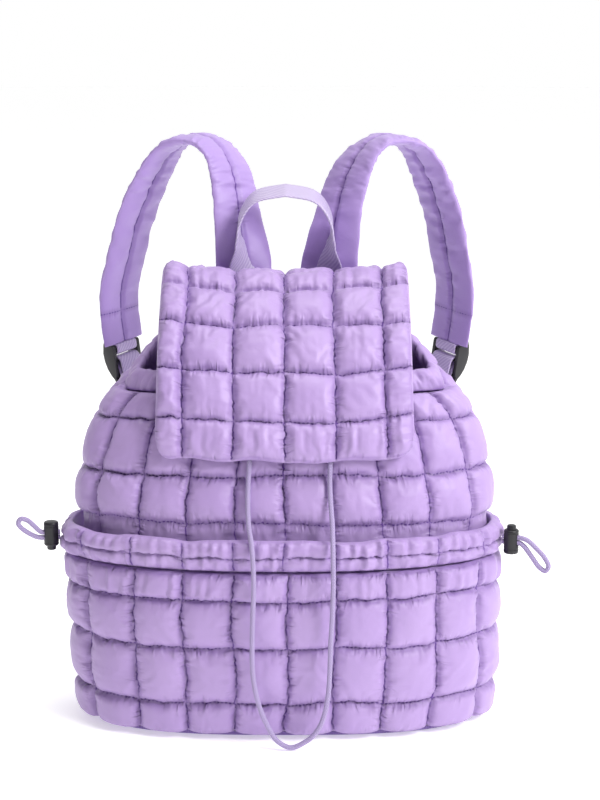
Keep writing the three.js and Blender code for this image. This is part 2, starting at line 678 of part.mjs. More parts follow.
// Prism on an outline of [down, out] pairs, centred on a place across the strap
function lockPrism(outline, width, centre) {
  const shape = new THREE.Shape(outline.map(([down, out]) => new THREE.Vector2(out, -down)));
  const geometry = new THREE.ExtrudeGeometry(shape, { depth: width, bevelEnabled: false });
  geometry.applyMatrix4(new THREE.Matrix4().makeBasis(vec(0, 1, 0), vec(0, 0, 1), vec(1, 0, 0)));
  return geometry.translate(centre - width / 2, 0, 0);
}

const wasm = await Module();
wasm.setup();

function solidOf(geometry) {
  const bare = geometry.clone();
  bare.deleteAttribute('normal');
  bare.deleteAttribute('uv');
  const merged = mergeVertices(bare, 1e-4);
  return new wasm.Manifold(new wasm.Mesh({
    numProp: 3,
    vertProperties: new Float32Array(merged.attributes.position.array),
    triVerts: new Uint32Array(merged.index.array),
  }));
}

function geometryOf(solid) {
  const mesh = solid.getMesh();
  const geometry = new THREE.BufferGeometry();
  geometry.setAttribute('position', new THREE.Float32BufferAttribute(mesh.vertProperties, 3));
  geometry.setIndex([...mesh.triVerts]);
  geometry.computeVertexNormals();
  return geometry;
}

function ladderLock(strap) {
  const railCentre = (lockRailSpacing + LOCK_RAIL_WIDTH) / 2;
  const barLength = lockRailSpacing + LOCK_RAIL_WIDTH;
  let lock = solidOf(lockPrism(railOutline, LOCK_RAIL_WIDTH, railCentre));
  lock = lock.add(solidOf(lockPrism(railOutline, LOCK_RAIL_WIDTH, -railCentre)));
  for (const bar of lockBars) {
    const cylinder = new THREE.CylinderGeometry(LOCK_BAR_RADIUS, LOCK_BAR_RADIUS, barLength, 10);
    cylinder.rotateZ(Math.PI / 2).translate(0, bar.out, -bar.down);
    lock = lock.add(solidOf(cylinder));
  }
  const nearSide = strap.side * LOCK_THUMB_OFFSET;
  lock = lock.add(solidOf(lockPrism(thumbOutline, LOCK_THUMB_WIDTH, nearSide)));
  return geometryOf(lock).applyMatrix4(strapEndMatrix(strap));
}

// Ring of webbing from the strap's end round the first bar
function strapLoop(strap) {
  const slot = (radius, top) => [
    [top, radius],
    ...range(0, 6).map((i) => {
      const angle = (Math.PI * i) / 6;
      return [firstBarDown + radius * Math.sin(angle), radius * Math.cos(angle)];
    }),
    [top, -radius],
  ];
  const outer = lockPrism(slot(barClearance + WEBBING_THICKNESS, SEAT_GAP), WEBBING_WIDTH, 0);
  const inner = lockPrism(slot(barClearance, SEAT_GAP + WEBBING_THICKNESS), 2 * WEBBING_WIDTH, 0);
  return geometryOf(solidOf(outer).subtract(solidOf(inner))).applyMatrix4(strapEndMatrix(strap));
}

// Lower webbing: its tail hangs behind, it goes over the middle bar, behind the last one and to the bag
function strapWebbing(strap) {
  const matrix = strapEndMatrix(strap);
  const [, middleBar, lastBar] = lockBars;
  const wrap = barClearance + WEBBING_THICKNESS / 2;
  const around = (bar, from, to, steps) => Array.from({ length: steps + 1 }, (_, i) => {
    const angle = THREE.MathUtils.degToRad(lerp(from, to, i / steps));
    return [bar.down + wrap * Math.cos(angle), bar.out + wrap * Math.sin(angle)];
  });
  const slope = 0.2;
  const tail = (down) => [down, -6.2 - slope * (down - lastBar.down)];
  const route = [
    tail(lastBar.down + TAIL_LENGTH), tail(lastBar.down + TAIL_LENGTH / 2), tail(lastBar.down),
    [middleBar.down - 0.2, -4.6], [middleBar.down - 2.4, -2.4], [middleBar.down - wrap - 0.3, 0.4],
    ...around(middleBar, 180, 30, 5),
    [lastBar.down - 4.9, 1.9], [lastBar.down - 3, -0.7],
    ...around(lastBar, 250, 280, 1), [lastBar.down + 10, -4],
  ];
  const { across } = strapFrame(strap, 1);
  const stations = route.map(([down, out]) => ({ at: vec(0, out, -down).applyMatrix4(matrix), across }));
  const last = stations[stations.length - 1].at;
  const wall = WEBBING_WALL_HEIGHTS.map((z) => {
    const column = strap.side * WEBBING_COLUMN;
    const frame = shellFrame(column, levelAt(z));
    const standoff = BACK_PUFF_HEIGHT * PUFF_TOP + SEAT_GAP + WEBBING_THICKNESS / 2;
    return {
      at: frame.point.clone().addScaledVector(frame.out, standoff),
      across: frame.across.clone().multiplyScalar(Math.sign(frame.across.dot(across))),
    };
  });
  for (const share of [0.08, 0.2, 0.4, 0.6, 0.8]) {
    stations.push({
      at: last.clone().lerp(wall[0].at, share),
      across: across.clone().lerp(wall[0].across, share),
    });
  }
  stations.push(...wall);
  return bandGeometry(stations, WEBBING_WIDTH, WEBBING_THICKNESS);
}

// Cord with a round section along a smooth curve through its points
function cordGeometry(points, steps) {
  const curve = new THREE.CatmullRomCurve3(points);
  const section = new THREE.Shape();
  section.absarc(0, 0, CORD_DIAMETER / 2, 0, 2 * Math.PI);
  const outline = section.getPoints(2).slice(0, 8);
  return new THREE.ExtrudeGeometry(new THREE.Shape(outline), {
    steps, bevelEnabled: false, extrudePath: curve,
  });
}

// Toggle's place: out from the hem's face, across along the hem and up, centred on the cords
function toggleFrame(cord) {
  const frame = shellFrame(cord.column, levelAt(hemMiddle));
  const out = frame.out.clone().setZ(0).normalize();
  const up = vec(0, 0, 1);
  const across = vec(0, 0, 0).crossVectors(up, out);
  const gather = Math.round((cord.column + POCKET_HALF_SPAN) * GATHERS_PER_COLUMN);
  const half = (HEM_THICKNESS / 2) * gatherScale(gather);
  const face = frame.point.clone()
    .addScaledVector(out, pocketStandoff(cord.column, hemMiddle) + half * (1 + hemProfile[0].x));
  return { face, out, up, across };
}

function pocketCord(cord) {
  const { face, out, up } = toggleFrame(cord);
  return cordGeometry(cord.route.map(([along, rise]) => face.clone()
    .addScaledVector(out, along + SEAT_GAP)
    .addScaledVector(up, rise)), 28);
}

function toggleMatrix(cord) {
  const { face, out, up, across } = toggleFrame(cord);
  const place = face.clone().addScaledVector(out, TOGGLE_STANDOFF);
  const top = up.clone().multiplyScalar(cord.buttonUp);
  return new THREE.Matrix4().makeBasis(out, across.clone().multiplyScalar(cord.buttonUp), top)
    .setPosition(place);
}

// Upright cylinder and box between two heights
function post(radius, bottom, top, sides) {
  return new THREE.CylinderGeometry(radius, radius, top - bottom, sides)
    .rotateX(Math.PI / 2).translate(0, 0, (top + bottom) / 2);
}

function slotBox(length, width, bottom, top) {
  return new THREE.BoxGeometry(length, width, top - bottom).translate(0, 0, (top + bottom) / 2);
}

const cordHoleWidth = CORD_DIAMETER + 0.7;
const cordHoleHalf = CORD_DIAMETER + 0.5;
const toggleTop = cordHoleHalf + TOGGLE_ROOF;
const toggleBottom = toggleTop - TOGGLE_HEIGHT;
const buttonBottom = -cordHoleHalf - BUTTON_FLOOR;
const boreBottom = buttonBottom - BUTTON_TRAVEL - BUTTON_CLEARANCE;

function cordLock(cord) {
  const bore = BUTTON_RADIUS + BUTTON_CLEARANCE;
  const body = solidOf(post(TOGGLE_RADIUS, toggleBottom, toggleTop, 24))
    .subtract(solidOf(post(bore, boreBottom, toggleTop + 1, 20)))
    .subtract(solidOf(slotBox(4 * TOGGLE_RADIUS, cordHoleWidth, -cordHoleHalf, cordHoleHalf)));
  return geometryOf(body).applyMatrix4(toggleMatrix(cord));
}

function lockButton(cord) {
  const button = solidOf(post(BUTTON_RADIUS, buttonBottom, toggleTop + BUTTON_PROUD, 20)).subtract(
    solidOf(slotBox(4 * BUTTON_RADIUS, cordHoleWidth, -cordHoleHalf, cordHoleHalf + BUTTON_TRAVEL)),
  );
  return geometryOf(button).applyMatrix4(toggleMatrix(cord));
}

const finishes = {
  nylon: { color: '#b799e2', roughness: 0.42, metalness: 0 },
  lining: { color: '#8a74ae', roughness: 0.8, metalness: 0 },
  webbing: { color: '#cdbbe6', roughness: 0.5, metalness: 0 },
  cord: { color: '#ae95d6', roughness: 0.7, metalness: 0 },
  plastic: { color: '#17161a', roughness: 0.45, metalness: 0 },
};

const group = new THREE.Group();
function addPiece(name, geometry, finish) {
  const piece = new THREE.Mesh(geometry, new THREE.MeshStandardMaterial(finishes[finish]));
  piece.name = name;
  group.add(piece);
}

addPiece('bag_body', bagBody(), 'nylon');
addPiece('base_panel', basePanel(), 'lining');
addPiece('mouth_casing', mouthCasing(), 'nylon');
addPiece('front_pocket', frontPocket(), 'nylon');
addPiece('pocket_hem', pocketHem(), 'nylon');
addPiece('flap', coverFlap(), 'nylon');
addPiece('top_handle', topHandle(), 'webbing');
for (const strap of strapSides) {
  addPiece(`shoulder_strap_${strap.name}`, shoulderStrap(strap), 'nylon');
  addPiece(`strap_loop_${strap.name}`, strapLoop(strap), 'webbing');
  addPiece(`ladder_lock_${strap.name}`, ladderLock(strap), 'plastic');
  addPiece(`strap_webbing_${strap.name}`, strapWebbing(strap), 'webbing');
}
addPiece('drawcord', cordGeometry(drawcordRoute.map(([x, y, z]) => vec(x, y, z)), 78), 'cord');
for (const cord of pocketCordSides) {
  addPiece(`pocket_cord_${cord.name}`, pocketCord(cord), 'cord');
  addPiece(`cord_lock_${cord.name}`, cordLock(cord), 'plastic');
  addPiece(`lock_button_${cord.name}`, lockButton(cord), 'plastic');
}

export default group;
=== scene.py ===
"""Quilted puffer backpack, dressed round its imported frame.

Sizes are written in millimetres, as a bag maker gives them, and meshes are made in metres.
Every padded wall starts as a grid on its own seam surface, is blown up between its pinned
seams as wadding does it, and is then lined and closed.
"""

import logging
import math
from dataclasses import dataclass, field
from enum import Enum
from typing import Callable, Sequence

import bpy
import numpy as np
from mathutils import Matrix, Vector


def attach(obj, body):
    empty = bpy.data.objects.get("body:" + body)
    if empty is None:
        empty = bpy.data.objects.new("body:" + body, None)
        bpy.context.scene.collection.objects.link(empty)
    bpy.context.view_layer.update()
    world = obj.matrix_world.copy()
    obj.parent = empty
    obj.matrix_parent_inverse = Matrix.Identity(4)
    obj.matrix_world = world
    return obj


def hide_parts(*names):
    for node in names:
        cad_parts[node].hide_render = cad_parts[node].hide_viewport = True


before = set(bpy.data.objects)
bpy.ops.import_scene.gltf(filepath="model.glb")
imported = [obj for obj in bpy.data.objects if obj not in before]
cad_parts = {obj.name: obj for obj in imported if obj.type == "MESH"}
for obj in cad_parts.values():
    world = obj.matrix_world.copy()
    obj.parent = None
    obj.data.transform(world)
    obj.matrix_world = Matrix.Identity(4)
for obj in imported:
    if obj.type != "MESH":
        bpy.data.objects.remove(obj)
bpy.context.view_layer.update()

LOG = logging.getLogger("backpack")
MM = 0.001
SEAT_GAP = 0.3  # Gap that the frame leaves between pieces that touch.
FAR = 20.0  # Distance that counts as clear of every seam.
ON_SEAM = 1e-6  # Distance within which a vertex counts as on a seam or an edge.
CLOTH_FRAMES = 14  # Steps that the wadding presses the quilted cloth out for.
Array = np.ndarray
Place = tuple[float, float]


class Side(Enum):
    """Left or right, seen from the front."""

    LEFT = "left"
    RIGHT = "right"

    @property
    def sign(self) -> int:
        """Direction of the side along X."""
        return -1 if self is Side.LEFT else 1


# Numbers and curves

def smooth_rows(values: Sequence[float], at: Array | float) -> Array:
    """Read a table's column at fractional rows, level where the column turns back.

    Args:
        values: The column, one value for each row.
        at: Fractional row numbers.

    Returns:
        The column's values there.
    """
    column = np.asarray(values, float)
    last = len(column) - 1
    before = np.diff(column, prepend=column[0])
    after = np.diff(column, append=column[-1])
    slopes = np.where(before * after > 0, (before + after) / 2, 0.0)
    slopes[0], slopes[-1] = after[0], before[-1]
    at = np.asarray(at, float)
    start = np.clip(np.floor(at).astype(int), 0, last - 1)
    t = at - start
    low, high = column[start], column[start + 1]
    leave, arrive = slopes[start], slopes[start + 1]
    cubic = (2 * low - 2 * high + leave + arrive) * t**3
    square = (3 * high - 3 * low - 2 * leave - arrive) * t**2
    return cubic + square + leave * t + low


def ripple(across: Array, along: Array, size: tuple[float, float], seed: int) -> Array:
    """Make smooth waves from -1 to 1 that never repeat evenly.

    Args:
        across: First coordinate in millimetres.
        along: Second coordinate in millimetres.
        size: Half a typical wave in each coordinate, in millimetres.
        seed: Which waves.

    Returns:
        Wave heights of the coordinates' shape.
    """
    cells = 257
    lattice = np.random.RandomState(seed).uniform(-1, 1, (cells, cells))
    a, b = np.broadcast_arrays(np.asarray(across, float) / size[0], np.asarray(along, float) / size[1])
    i, j = np.floor(a).astype(int), np.floor(b).astype(int)
    s, t = a - i, b - j
    s, t = s * s * (3 - 2 * s), t * t * (3 - 2 * t)
    near = lattice[i % cells, j % cells] * (1 - s) + lattice[(i + 1) % cells, j % cells] * s
    far = lattice[i % cells, (j + 1) % cells] * (1 - s) + lattice[(i + 1) % cells, (j + 1) % cells] * s
    return near * (1 - t) + far * t


def unit(vectors: Array) -> Array:
    """Scale vectors to length one."""
    return vectors / np.maximum(np.linalg.norm(vectors, axis=-1, keepdims=True), 1e-9)


def curve_at(route: Array, at: Array) -> Array:
    """Read a smooth curve through points at fractional point numbers.

    Args:
        route: The points, in order.
        at: Fractional point numbers.

    Returns:
        Places on the curve.
    """
    route = np.asarray(route, float)
    ends = np.vstack([2 * route[0] - route[1], route, 2 * route[-1] - route[-2]])
    first = np.clip(np.floor(at).astype(int), 0, len(route) - 2)
    t = (np.asarray(at, float) - first)[:, None]
    before, start, stop, after = (ends[first + k] for k in range(4))
    gaps = [np.maximum(np.linalg.norm(b - a, axis=1, keepdims=True) ** 0.5, 1e-6)
            for a, b in ((before, start), (start, stop), (stop, after))]
    leave = (start - before) / gaps[0] - (stop - before) / (gaps[0] + gaps[1]) + (stop - start) / gaps[1]
    arrive = (stop - start) / gaps[1] - (after - start) / (gaps[1] + gaps[2]) + (after - stop) / gaps[2]
    leave, arrive = leave * gaps[1], arrive * gaps[1]
    return ((2 * start - 2 * stop + leave + arrive) * t**3
            + (3 * stop - 3 * start - 2 * leave - arrive) * t**2 + leave * t + start)


def curve_points(route: Array, spacing: float) -> Array:
    """Follow a smooth curve through a route's points, evenly by length.

    Args:
        route: The points, in order.
        spacing: Distance between neighbours.

    Returns:
        The points on the curve.
    """
    fine = curve_at(route, np.linspace(0, len(route) - 1, 24 * len(route)))
    lengths = running_length(fine)
    even = np.linspace(0, lengths[-1], max(8, round(lengths[-1] / spacing)))
    return np.stack([np.interp(even, lengths, fine[:, k]) for k in range(3)], axis=1)


def running_length(points: Array) -> Array:
    """Length from the start to each point of a line."""
    return np.concatenate([[0], np.cumsum(np.linalg.norm(np.diff(points, axis=0), axis=1))])


# Meshes

def make_mesh(name: str, points: Array, faces: Sequence, layers: dict[str, Array]) -> bpy.types.Object:
    """Make an object from points in millimetres.

    Args:
        name: The piece's name.
        points: Vertex places, in millimetres.
        faces: Vertex numbers of each face.
        layers: UV layers in metres, with a pair for each vertex or for each face corner.

    Returns:
        The new object, shaded smooth.
    """
    mesh = bpy.data.meshes.new(name)
    mesh.from_pydata((np.asarray(points) * MM).tolist(), [], [tuple(int(i) for i in f) for f in faces])
    corners = np.empty(len(mesh.loops), int)
    mesh.loops.foreach_get("vertex_index", corners)
    for title, values in layers.items():
        values = np.asarray(values, np.float32)
        layer = mesh.uv_layers.new(name=title)
        layer.data.foreach_set("uv", (values if len(values) == len(corners) else values[corners]).ravel())
    mesh.shade_smooth()
    piece = bpy.data.objects.new(name, mesh)
    bpy.context.scene.collection.objects.link(piece)
    return piece


def select_only(piece: bpy.types.Object) -> None:
    """Make one piece the only selected and active one.

    Args:
        piece: The piece.
    """
    bpy.ops.object.select_all(action="DESELECT")
    piece.select_set(True)
    bpy.context.view_layer.objects.active = piece


def apply_modifier(piece: bpy.types.Object, kind: str, **settings) -> None:
    """Add a modifier, set it and apply it.

    Args:
        piece: The object.
        kind: The modifier's type.
        **settings: Its properties.
    """
    select_only(piece)
    bpy.ops.object.modifier_add(type=kind)
    modifier = piece.modifiers[-1]
    for name, value in settings.items():
        setattr(modifier, name, value)
    bpy.ops.object.modifier_apply(modifier=modifier.name)


def grid_faces(width: int, height: int, wrap: bool = False, flip: bool = False, start: int = 0) -> Array:
    """Number the quads of a grid whose vertices run along its second direction first.

    Args:
        width: Vertices in the first direction.
        height: Vertices in the second direction.
        wrap: Whether the first direction closes on itself.
        flip: Whether the quads face the other way.
        start: Number of the grid's first vertex.

    Returns:
        Quads as an array of vertex numbers.
    """
    columns = np.arange(width if wrap else width - 1)
    i, j = np.meshgrid(columns, np.arange(height - 1), indexing="ij")
    here, beside = i * height + j, ((i + 1) % width) * height + j
    quads = np.stack([here, beside, beside + 1, here + 1], axis=-1).reshape(-1, 4) + start
    return quads[:, ::-1] if flip else quads


def zip_edges(outer: Sequence[int], inner: Sequence[int], outer_at: Array, inner_at: Array,
              flip: bool) -> list:
    """Join two edges that have different numbers of vertices.

    Args:
        outer: Vertex numbers along the outer edge.
        inner: Vertex numbers along the inner edge.
        outer_at: Position of each outer vertex along the edge.
        inner_at: Position of each inner vertex along the edge.
        flip: Whether the triangles face the other way.

    Returns:
        The triangles.
    """
    faces = []
    i = k = 0
    while i < len(outer) - 1 or k < len(inner) - 1:
        outer_next = outer_at[i + 1] if i < len(outer) - 1 else math.inf
        inner_next = inner_at[k + 1] if k < len(inner) - 1 else math.inf
        if outer_next <= inner_next:
            face = (outer[i], outer[i + 1], inner[k])
            i += 1
        else:
            face = (inner[k + 1], inner[k], outer[i])
            k += 1
        faces.append((face[1], face[0], face[2]) if flip else face)
    return faces


def sweep(name: str, rings: Array, closed: bool = False, seam: Array | None = None,
          cross: Array | None = None) -> bpy.types.Object:
    """Make a closed body through rings of equal size.

    Args:
        name: The piece's name.
        rings: Ring points in millimetres, of shape (rings, points of a ring, 3).
        closed: Whether the last ring joins the first; otherwise both ends are capped.
        seam: Distance from a seam in millimetres, for each point of a ring.
        cross: Distance from a seam in millimetres, for each ring.

    Returns:
        The new object, with its cloth laid out in metres round and along it.
    """
    count, size = rings.shape[:2]
    spans = count if closed else count - 1
    i, j = (grid.ravel() for grid in np.meshgrid(np.arange(spans), np.arange(size), indexing="ij"))
    after, beside = (i + 1) % count, (j + 1) % size
    quads = np.stack([i * size + j, i * size + beside, after * size + beside, after * size + j], axis=1)
    middle = rings[count // 2]
    round_at = running_length(np.vstack([middle, middle[:1]]))
    centres = rings.mean(axis=1)
    along_at = running_length(np.vstack([centres, centres[:1]]))
    cloth = np.stack([np.stack([round_at[j], along_at[i]], -1), np.stack([round_at[j + 1], along_at[i]], -1),
                      np.stack([round_at[j + 1], along_at[i + 1]], -1),
                      np.stack([round_at[j], along_at[i + 1]], -1)], axis=1)
    reach = np.full(size, FAR) if seam is None else np.asarray(seam, float)
    seams = np.full((len(quads), 4, 2), FAR)
    seams[:, 0, 0] = seams[:, 3, 0] = reach[j]
    seams[:, 1, 0] = seams[:, 2, 0] = reach[beside]
    if cross is not None:
        seams[:, 0, 1] = seams[:, 1, 1] = cross[i]
        seams[:, 2, 1] = seams[:, 3, 1] = cross[after]
    points = rings.reshape(-1, 3)
    corner = points[quads] - points.mean(axis=0)
    volume = np.einsum("ij,ij->", corner[:, 0], np.cross(corner[:, 1], corner[:, 2]))
    faces = [tuple(q) for q in (quads if volume > 0 else quads[:, ::-1])]
    if volume < 0:
        cloth, seams = cloth[:, ::-1], seams[:, ::-1]
    cloth, seams = cloth.reshape(-1, 2), seams.reshape(-1, 2)
    if not closed:
        first = len(points)
        points = np.vstack([points, centres[0], centres[-1]])
        last = (count - 1) * size
        for k in range(size):
            n = (k + 1) % size
            start, end = (first, n, k), (first + 1, last + k, last + n)
            faces += [start, end] if volume > 0 else [start[::-1], end[::-1]]
        spare = np.zeros((6 * size, 2))
        cloth, seams = np.vstack([cloth, spare]), np.vstack([seams, spare + FAR])
    return make_mesh(name, points, faces, {"cloth": cloth * MM, "seams": seams * MM})


def band(name: str, at: Array, across: Array, width: float, thickness: float,
         closed: bool = False) -> bpy.types.Object:
    """Make a flat woven band with rounded edges.

    Args:
        name: The piece's name.
        at: Places along its middle, in millimetres.
        across: Direction of its width at each place.
        width: Its width.
        thickness: Its thickness.
        closed: Whether it is a ring.

    Returns:
        The new object.
    """
    along = np.roll(at, -1, axis=0) - np.roll(at, 1, axis=0) if closed else np.gradient(at, axis=0)
    along = unit(along)
    across = unit(across - along * (across * along).sum(axis=1, keepdims=True))
    out = np.cross(along, across)
    share = np.array([-1, -0.97, -0.9, -0.6, -0.3, 0, 0.3, 0.6, 0.9, 0.97, 1])
    height = np.array([0, 0.75, 1, 1, 1, 1, 1, 1, 1, 0.75, 0])
    x = np.concatenate([share, share[-2:0:-1]]) * width / 2
    y = np.concatenate([height, -height[-2:0:-1]]) * thickness / 2
    rings = at[:, None] + across[:, None] * x[None, :, None] + out[:, None] * y[None, :, None]
    return sweep(name, rings, closed)


def cord_mesh(name: str, points: Array, radius: float, sides: int = 12) -> bpy.types.Object:
    """Make a round cord along points, turned as little as it can be.

    Args:
        name: The piece's name.
        points: Places along its middle, in millimetres.
        radius: Its radius.
        sides: How many points go round it.

    Returns:
        The new object.
    """
    along = unit(np.gradient(points, axis=0))
    askew = [0.3, 1.0, 0.2]
    side = unit(np.cross(along[0], askew))
    angles = 2 * math.pi * np.arange(sides) / sides
    rings = np.empty((len(points), sides, 3))
    for i, direction in enumerate(along):
        side = unit(side - direction * np.dot(side, direction))
        other = np.cross(direction, side)
        rings[i] = points[i] + radius * (np.outer(np.cos(angles), side) + np.outer(np.sin(angles), other))
    return sweep(name, rings)


class Surface:
    """Seam surface read from a fine table, with its outward directions."""

    def __init__(self, u: Array, v: Array, points: Array, level_out: bool = False) -> None:
        """Keep the table.

        Args:
            u: First coordinates of the table, evenly spaced.
            v: Second coordinates of the table, evenly spaced.
            points: Places in millimetres, of shape (len(u), len(v), 3).
            level_out: Whether the outward directions are kept level.
        """
        self.u, self.v, self.points = u, v, points
        out = np.cross(np.gradient(points, axis=0), np.gradient(points, axis=1))
        if level_out:
            out[..., 2] = 0
        self.out = unit(out)

    def _read(self, table: Array, u: Array, v: Array) -> Array:
        """Read a table between its entries.

        Args:
            table: The table, of the surface's own shape.
            u: First coordinates.
            v: Second coordinates.

        Returns:
            The values there.
        """
        a = np.clip((u - self.u[0]) / (self.u[1] - self.u[0]), 0, len(self.u) - 1.001)
        b = np.clip((v - self.v[0]) / (self.v[1] - self.v[0]), 0, len(self.v) - 1.001)
        i, j = a.astype(int), b.astype(int)
        s, t = (a - i)[..., None], (b - j)[..., None]
        low = table[i, j] * (1 - s) + table[i + 1, j] * s
        high = table[i, j + 1] * (1 - s) + table[i + 1, j + 1] * s
        return low * (1 - t) + high * t

    def place(self, u: Array | float, v: Array | float, offset: Array | float = 0.0) -> Array:
        """Find points at an offset from the surface.

        Args:
            u: First coordinates.
            v: Second coordinates.
            offset: Distance outwards, in millimetres.

        Returns:
            The points.
        """
        u, v, offset = np.broadcast_arrays(u, v, offset)
        return self._read(self.points, u, v) + self.outward(u, v) * offset[..., None]

    def outward(self, u: Array | float, v: Array | float) -> Array:
        """Directions out of the surface."""
        u, v = np.broadcast_arrays(u, v)
        return unit(self._read(self.out, u, v))


# Forms that the cloth is sewn to

@dataclass(frozen=True)
class ShellForm:
    """Seam surface of the bag's shell; its sizes and rows are the frame's own.

    widths, fronts and backs are shares of half the width and depth at each level, squareness is
    how square the outline is there, and rises is how far the back stands above the front.
    """

    width: float = 324.0
    depth: float = 142.0
    height: float = 281.7
    mouth_rise: float = 57.0
    bottom: float = 6.3
    wall: float = 2.5
    half_columns: int = 10
    casing_level: int = 7
    heights: tuple = (0, 0.148, 0.297, 0.446, 0.595, 0.723, 0.865, 0.936, 1)
    widths: tuple = (0.975, 1, 1, 1, 1.006, 0.981, 0.907, 0.79, 0.728)
    fronts: tuple = (0.93, 0.986, 1, 0.986, 0.93, 0.775, 0.535, 0.38, 0.28)
    backs: tuple = (0.873, 0.958, 0.986, 1, 1.014, 1.014, 0.986, 0.93, 0.845)
    squareness: tuple = (2.7, 2.5, 2.4, 2.35, 2.3, 2.25, 2.2, 2.15, 2.15)
    rises: tuple = (0, 0, 0, 0, 0.035, 0.105, 0.49, 0.91, 1)
    rise_power: float = 1.5
    table: tuple = (421, 401)
    outline_samples: int = 241

    @property
    def rim_level(self) -> int:
        """Level of the mouth's rim."""
        return len(self.heights) - 1

    def z_at(self, level: Array | float) -> Array:
        """Height of the shell's front at a level."""
        return self.bottom + smooth_rows(self.heights, level) * self.height

    def level_at(self, z: Array | float) -> Array:
        """Level at which the shell's front has a height."""
        levels = np.linspace(0, self.rim_level, 801)
        return np.interp(z, self.z_at(levels), levels)

    def surface(self, level_out: bool = False) -> Surface:
        """Work out the seam surface, with columns counted from the middle of the front.

        Args:
            level_out: Whether the outward directions are kept level.

        Returns:
            The surface, read by column and level.
        """
        reach = self.half_columns + 0.5
        u = np.linspace(-reach, reach, self.table[0])
        v = np.linspace(0, self.rim_level, self.table[1])
        angles = np.linspace(0, math.pi, self.outline_samples)
        points = np.empty((len(u), len(v), 3))
        signed = (u + self.half_columns) % (2 * self.half_columns) - self.half_columns
        for j, level in enumerate(v):
            share, front, back, square, rise = (float(smooth_rows(rows, level)) for rows in (
                self.widths, self.fronts, self.backs, self.squareness, self.rises))
            power = 2 / square
            x = share * self.width / 2 * np.abs(np.sin(angles)) ** power
            depth = np.where(np.cos(angles) > 0, -front, back) * self.depth / 2
            y = depth * np.abs(np.cos(angles)) ** power
            lengths = running_length(np.stack([x, y, 0 * x], axis=1))
            angle = np.interp(np.abs(signed) / self.half_columns * lengths[-1], lengths, angles)
            ahead = np.cos(angle)
            points[:, j, 0] = np.sign(signed) * share * self.width / 2 * np.abs(np.sin(angle)) ** power
            points[:, j, 1] = np.where(ahead > 0, -front, back) * self.depth / 2 * np.abs(ahead) ** power
            lifted = rise * self.mouth_rise * np.maximum(0, -ahead) ** self.rise_power
            points[:, j, 2] = self.z_at(level) + lifted
        return Surface(u, v, points, level_out)


@dataclass(frozen=True)
class PocketForm:
    """How the front pocket and its hem stand off the shell."""

    height: float = 133.7
    half_span: float = 5.5
    wall: float = 3.5
    clearance: float = 2.5
    slack: float = 9.0
    left_slack: float = 7.0
    left_column: float = -4.8
    hem_height: float = 25.0
    hem_thickness: float = 12.0
    hem_settle: float = 0.8
    rows: tuple = (0, 0.185, 0.535, 0.83, 1)

    def standoff(self, column: Array | float, z: Array | float, shell: ShellForm) -> Array:
        """Work out how far the pocket's inner face is from the shell.

        Args:
            column: Columns from the middle of the front.
            z: Heights in millimetres.
            shell: The bag's shell.

        Returns:
            The distances: none at the sewn ends and the foot, most at the top of the front.
        """
        share = np.clip((z - shell.bottom) / (self.height + self.hem_height), 0, 1)
        middle = 1 - (column / self.half_span) ** 2
        corner = np.exp(-((column - self.left_column) ** 2) / 1.6)
        return self.clearance + self.slack * middle * share**1.2 + self.left_slack * corner * share**2

    def hem_middle(self, shell: ShellForm) -> float:
        """Height of the hem's middle."""
        return shell.bottom + self.height + SEAT_GAP - self.hem_settle + self.hem_height / 2


@dataclass(frozen=True)
class FlapForm:
    """Seam surface of the cover flap; its sizes and rows are the frame's own.

    Each row of forwards and downs is one seam, from the foot of the back strip over the top to
    the front edge. bows and lifts bend the sides of a row, and bends says how near the edge.
    """

    half_width: float = 100.0
    side_tube: float = 21.0
    drop: float = 128.0
    wall: float = 2.5
    bow: float = 14.0
    lift: float = 8.0
    back_level: float = 6.0
    back_ease: float = 8.5
    top_ease: float = 9.5
    front_ease: float = 17.0
    forwards: tuple = (0, 0, 0.1, 0.24, 0.415, 0.624, 0.798, 0.93, 1)
    downs: tuple = (0.39, 0.14, 0.023, 0, 0.078, 0.258, 0.508, 0.781, 1)
    bows: tuple = (-1, -1, -0.57, -0.21, 0, 0.21, 0.36, 0.57, 0.71)
    lifts: tuple = (0, 0, 0.75, 1, 1, 0.75, 0.62, 0.5, 0)
    bends: tuple = (5, 5, 4, 3, 2, 2, 2, 2, 2)
    puffs: tuple = (0, 0.1, 0.7, 0.9, 1, 1, 1, 0.9)
    widths: tuple = (0.96, 0.96, 0.98, 0.99, 0.995, 1, 1.005, 1.01, 1.02)
    table: tuple = (201, 401)

    def anchors(self, shell: ShellForm) -> tuple[float, float, float]:
        """Find the flap's back face, top and front edge from the shell.

        Args:
            shell: The bag's shell.

        Returns:
            The back face's y, the top's z and the front edge's y.
        """
        skin = shell.surface()
        top = float(skin.place(shell.half_columns, float(shell.rim_level))[2]) + self.top_ease
        back = float(skin.place(shell.half_columns, self.back_level)[1]) + self.back_ease
        front = float(skin.place(0.0, shell.level_at(top - self.drop))[1]) - self.front_ease
        return back, top, front

    def surface(self, shell: ShellForm) -> Surface:
        """Work out the seam surface.

        Args:
            shell: The bag's shell.

        Returns:
            The surface, read by share of the half width and by row.
        """
        back, top, front = self.anchors(shell)
        share = np.linspace(-1, 1, self.table[0])[:, None]
        row = np.linspace(0, len(self.downs) - 1, self.table[1])[None, :]
        forward, down, bow, lift, bend, width = (smooth_rows(rows, row) for rows in (
            self.forwards, self.downs, self.bows, self.lifts, self.bends, self.widths))
        side = np.abs(share)
        points = np.empty((*self.table, 3))
        points[..., 0] = share * self.half_width * width
        points[..., 1] = back + (front - back) * forward + self.bow * bow * side**bend
        points[..., 2] = top - down * self.drop + self.lift * lift * side**2
        surface = Surface(share[:, 0], row[0], points)
        surface.out *= -1
        return surface


# Quilted walls

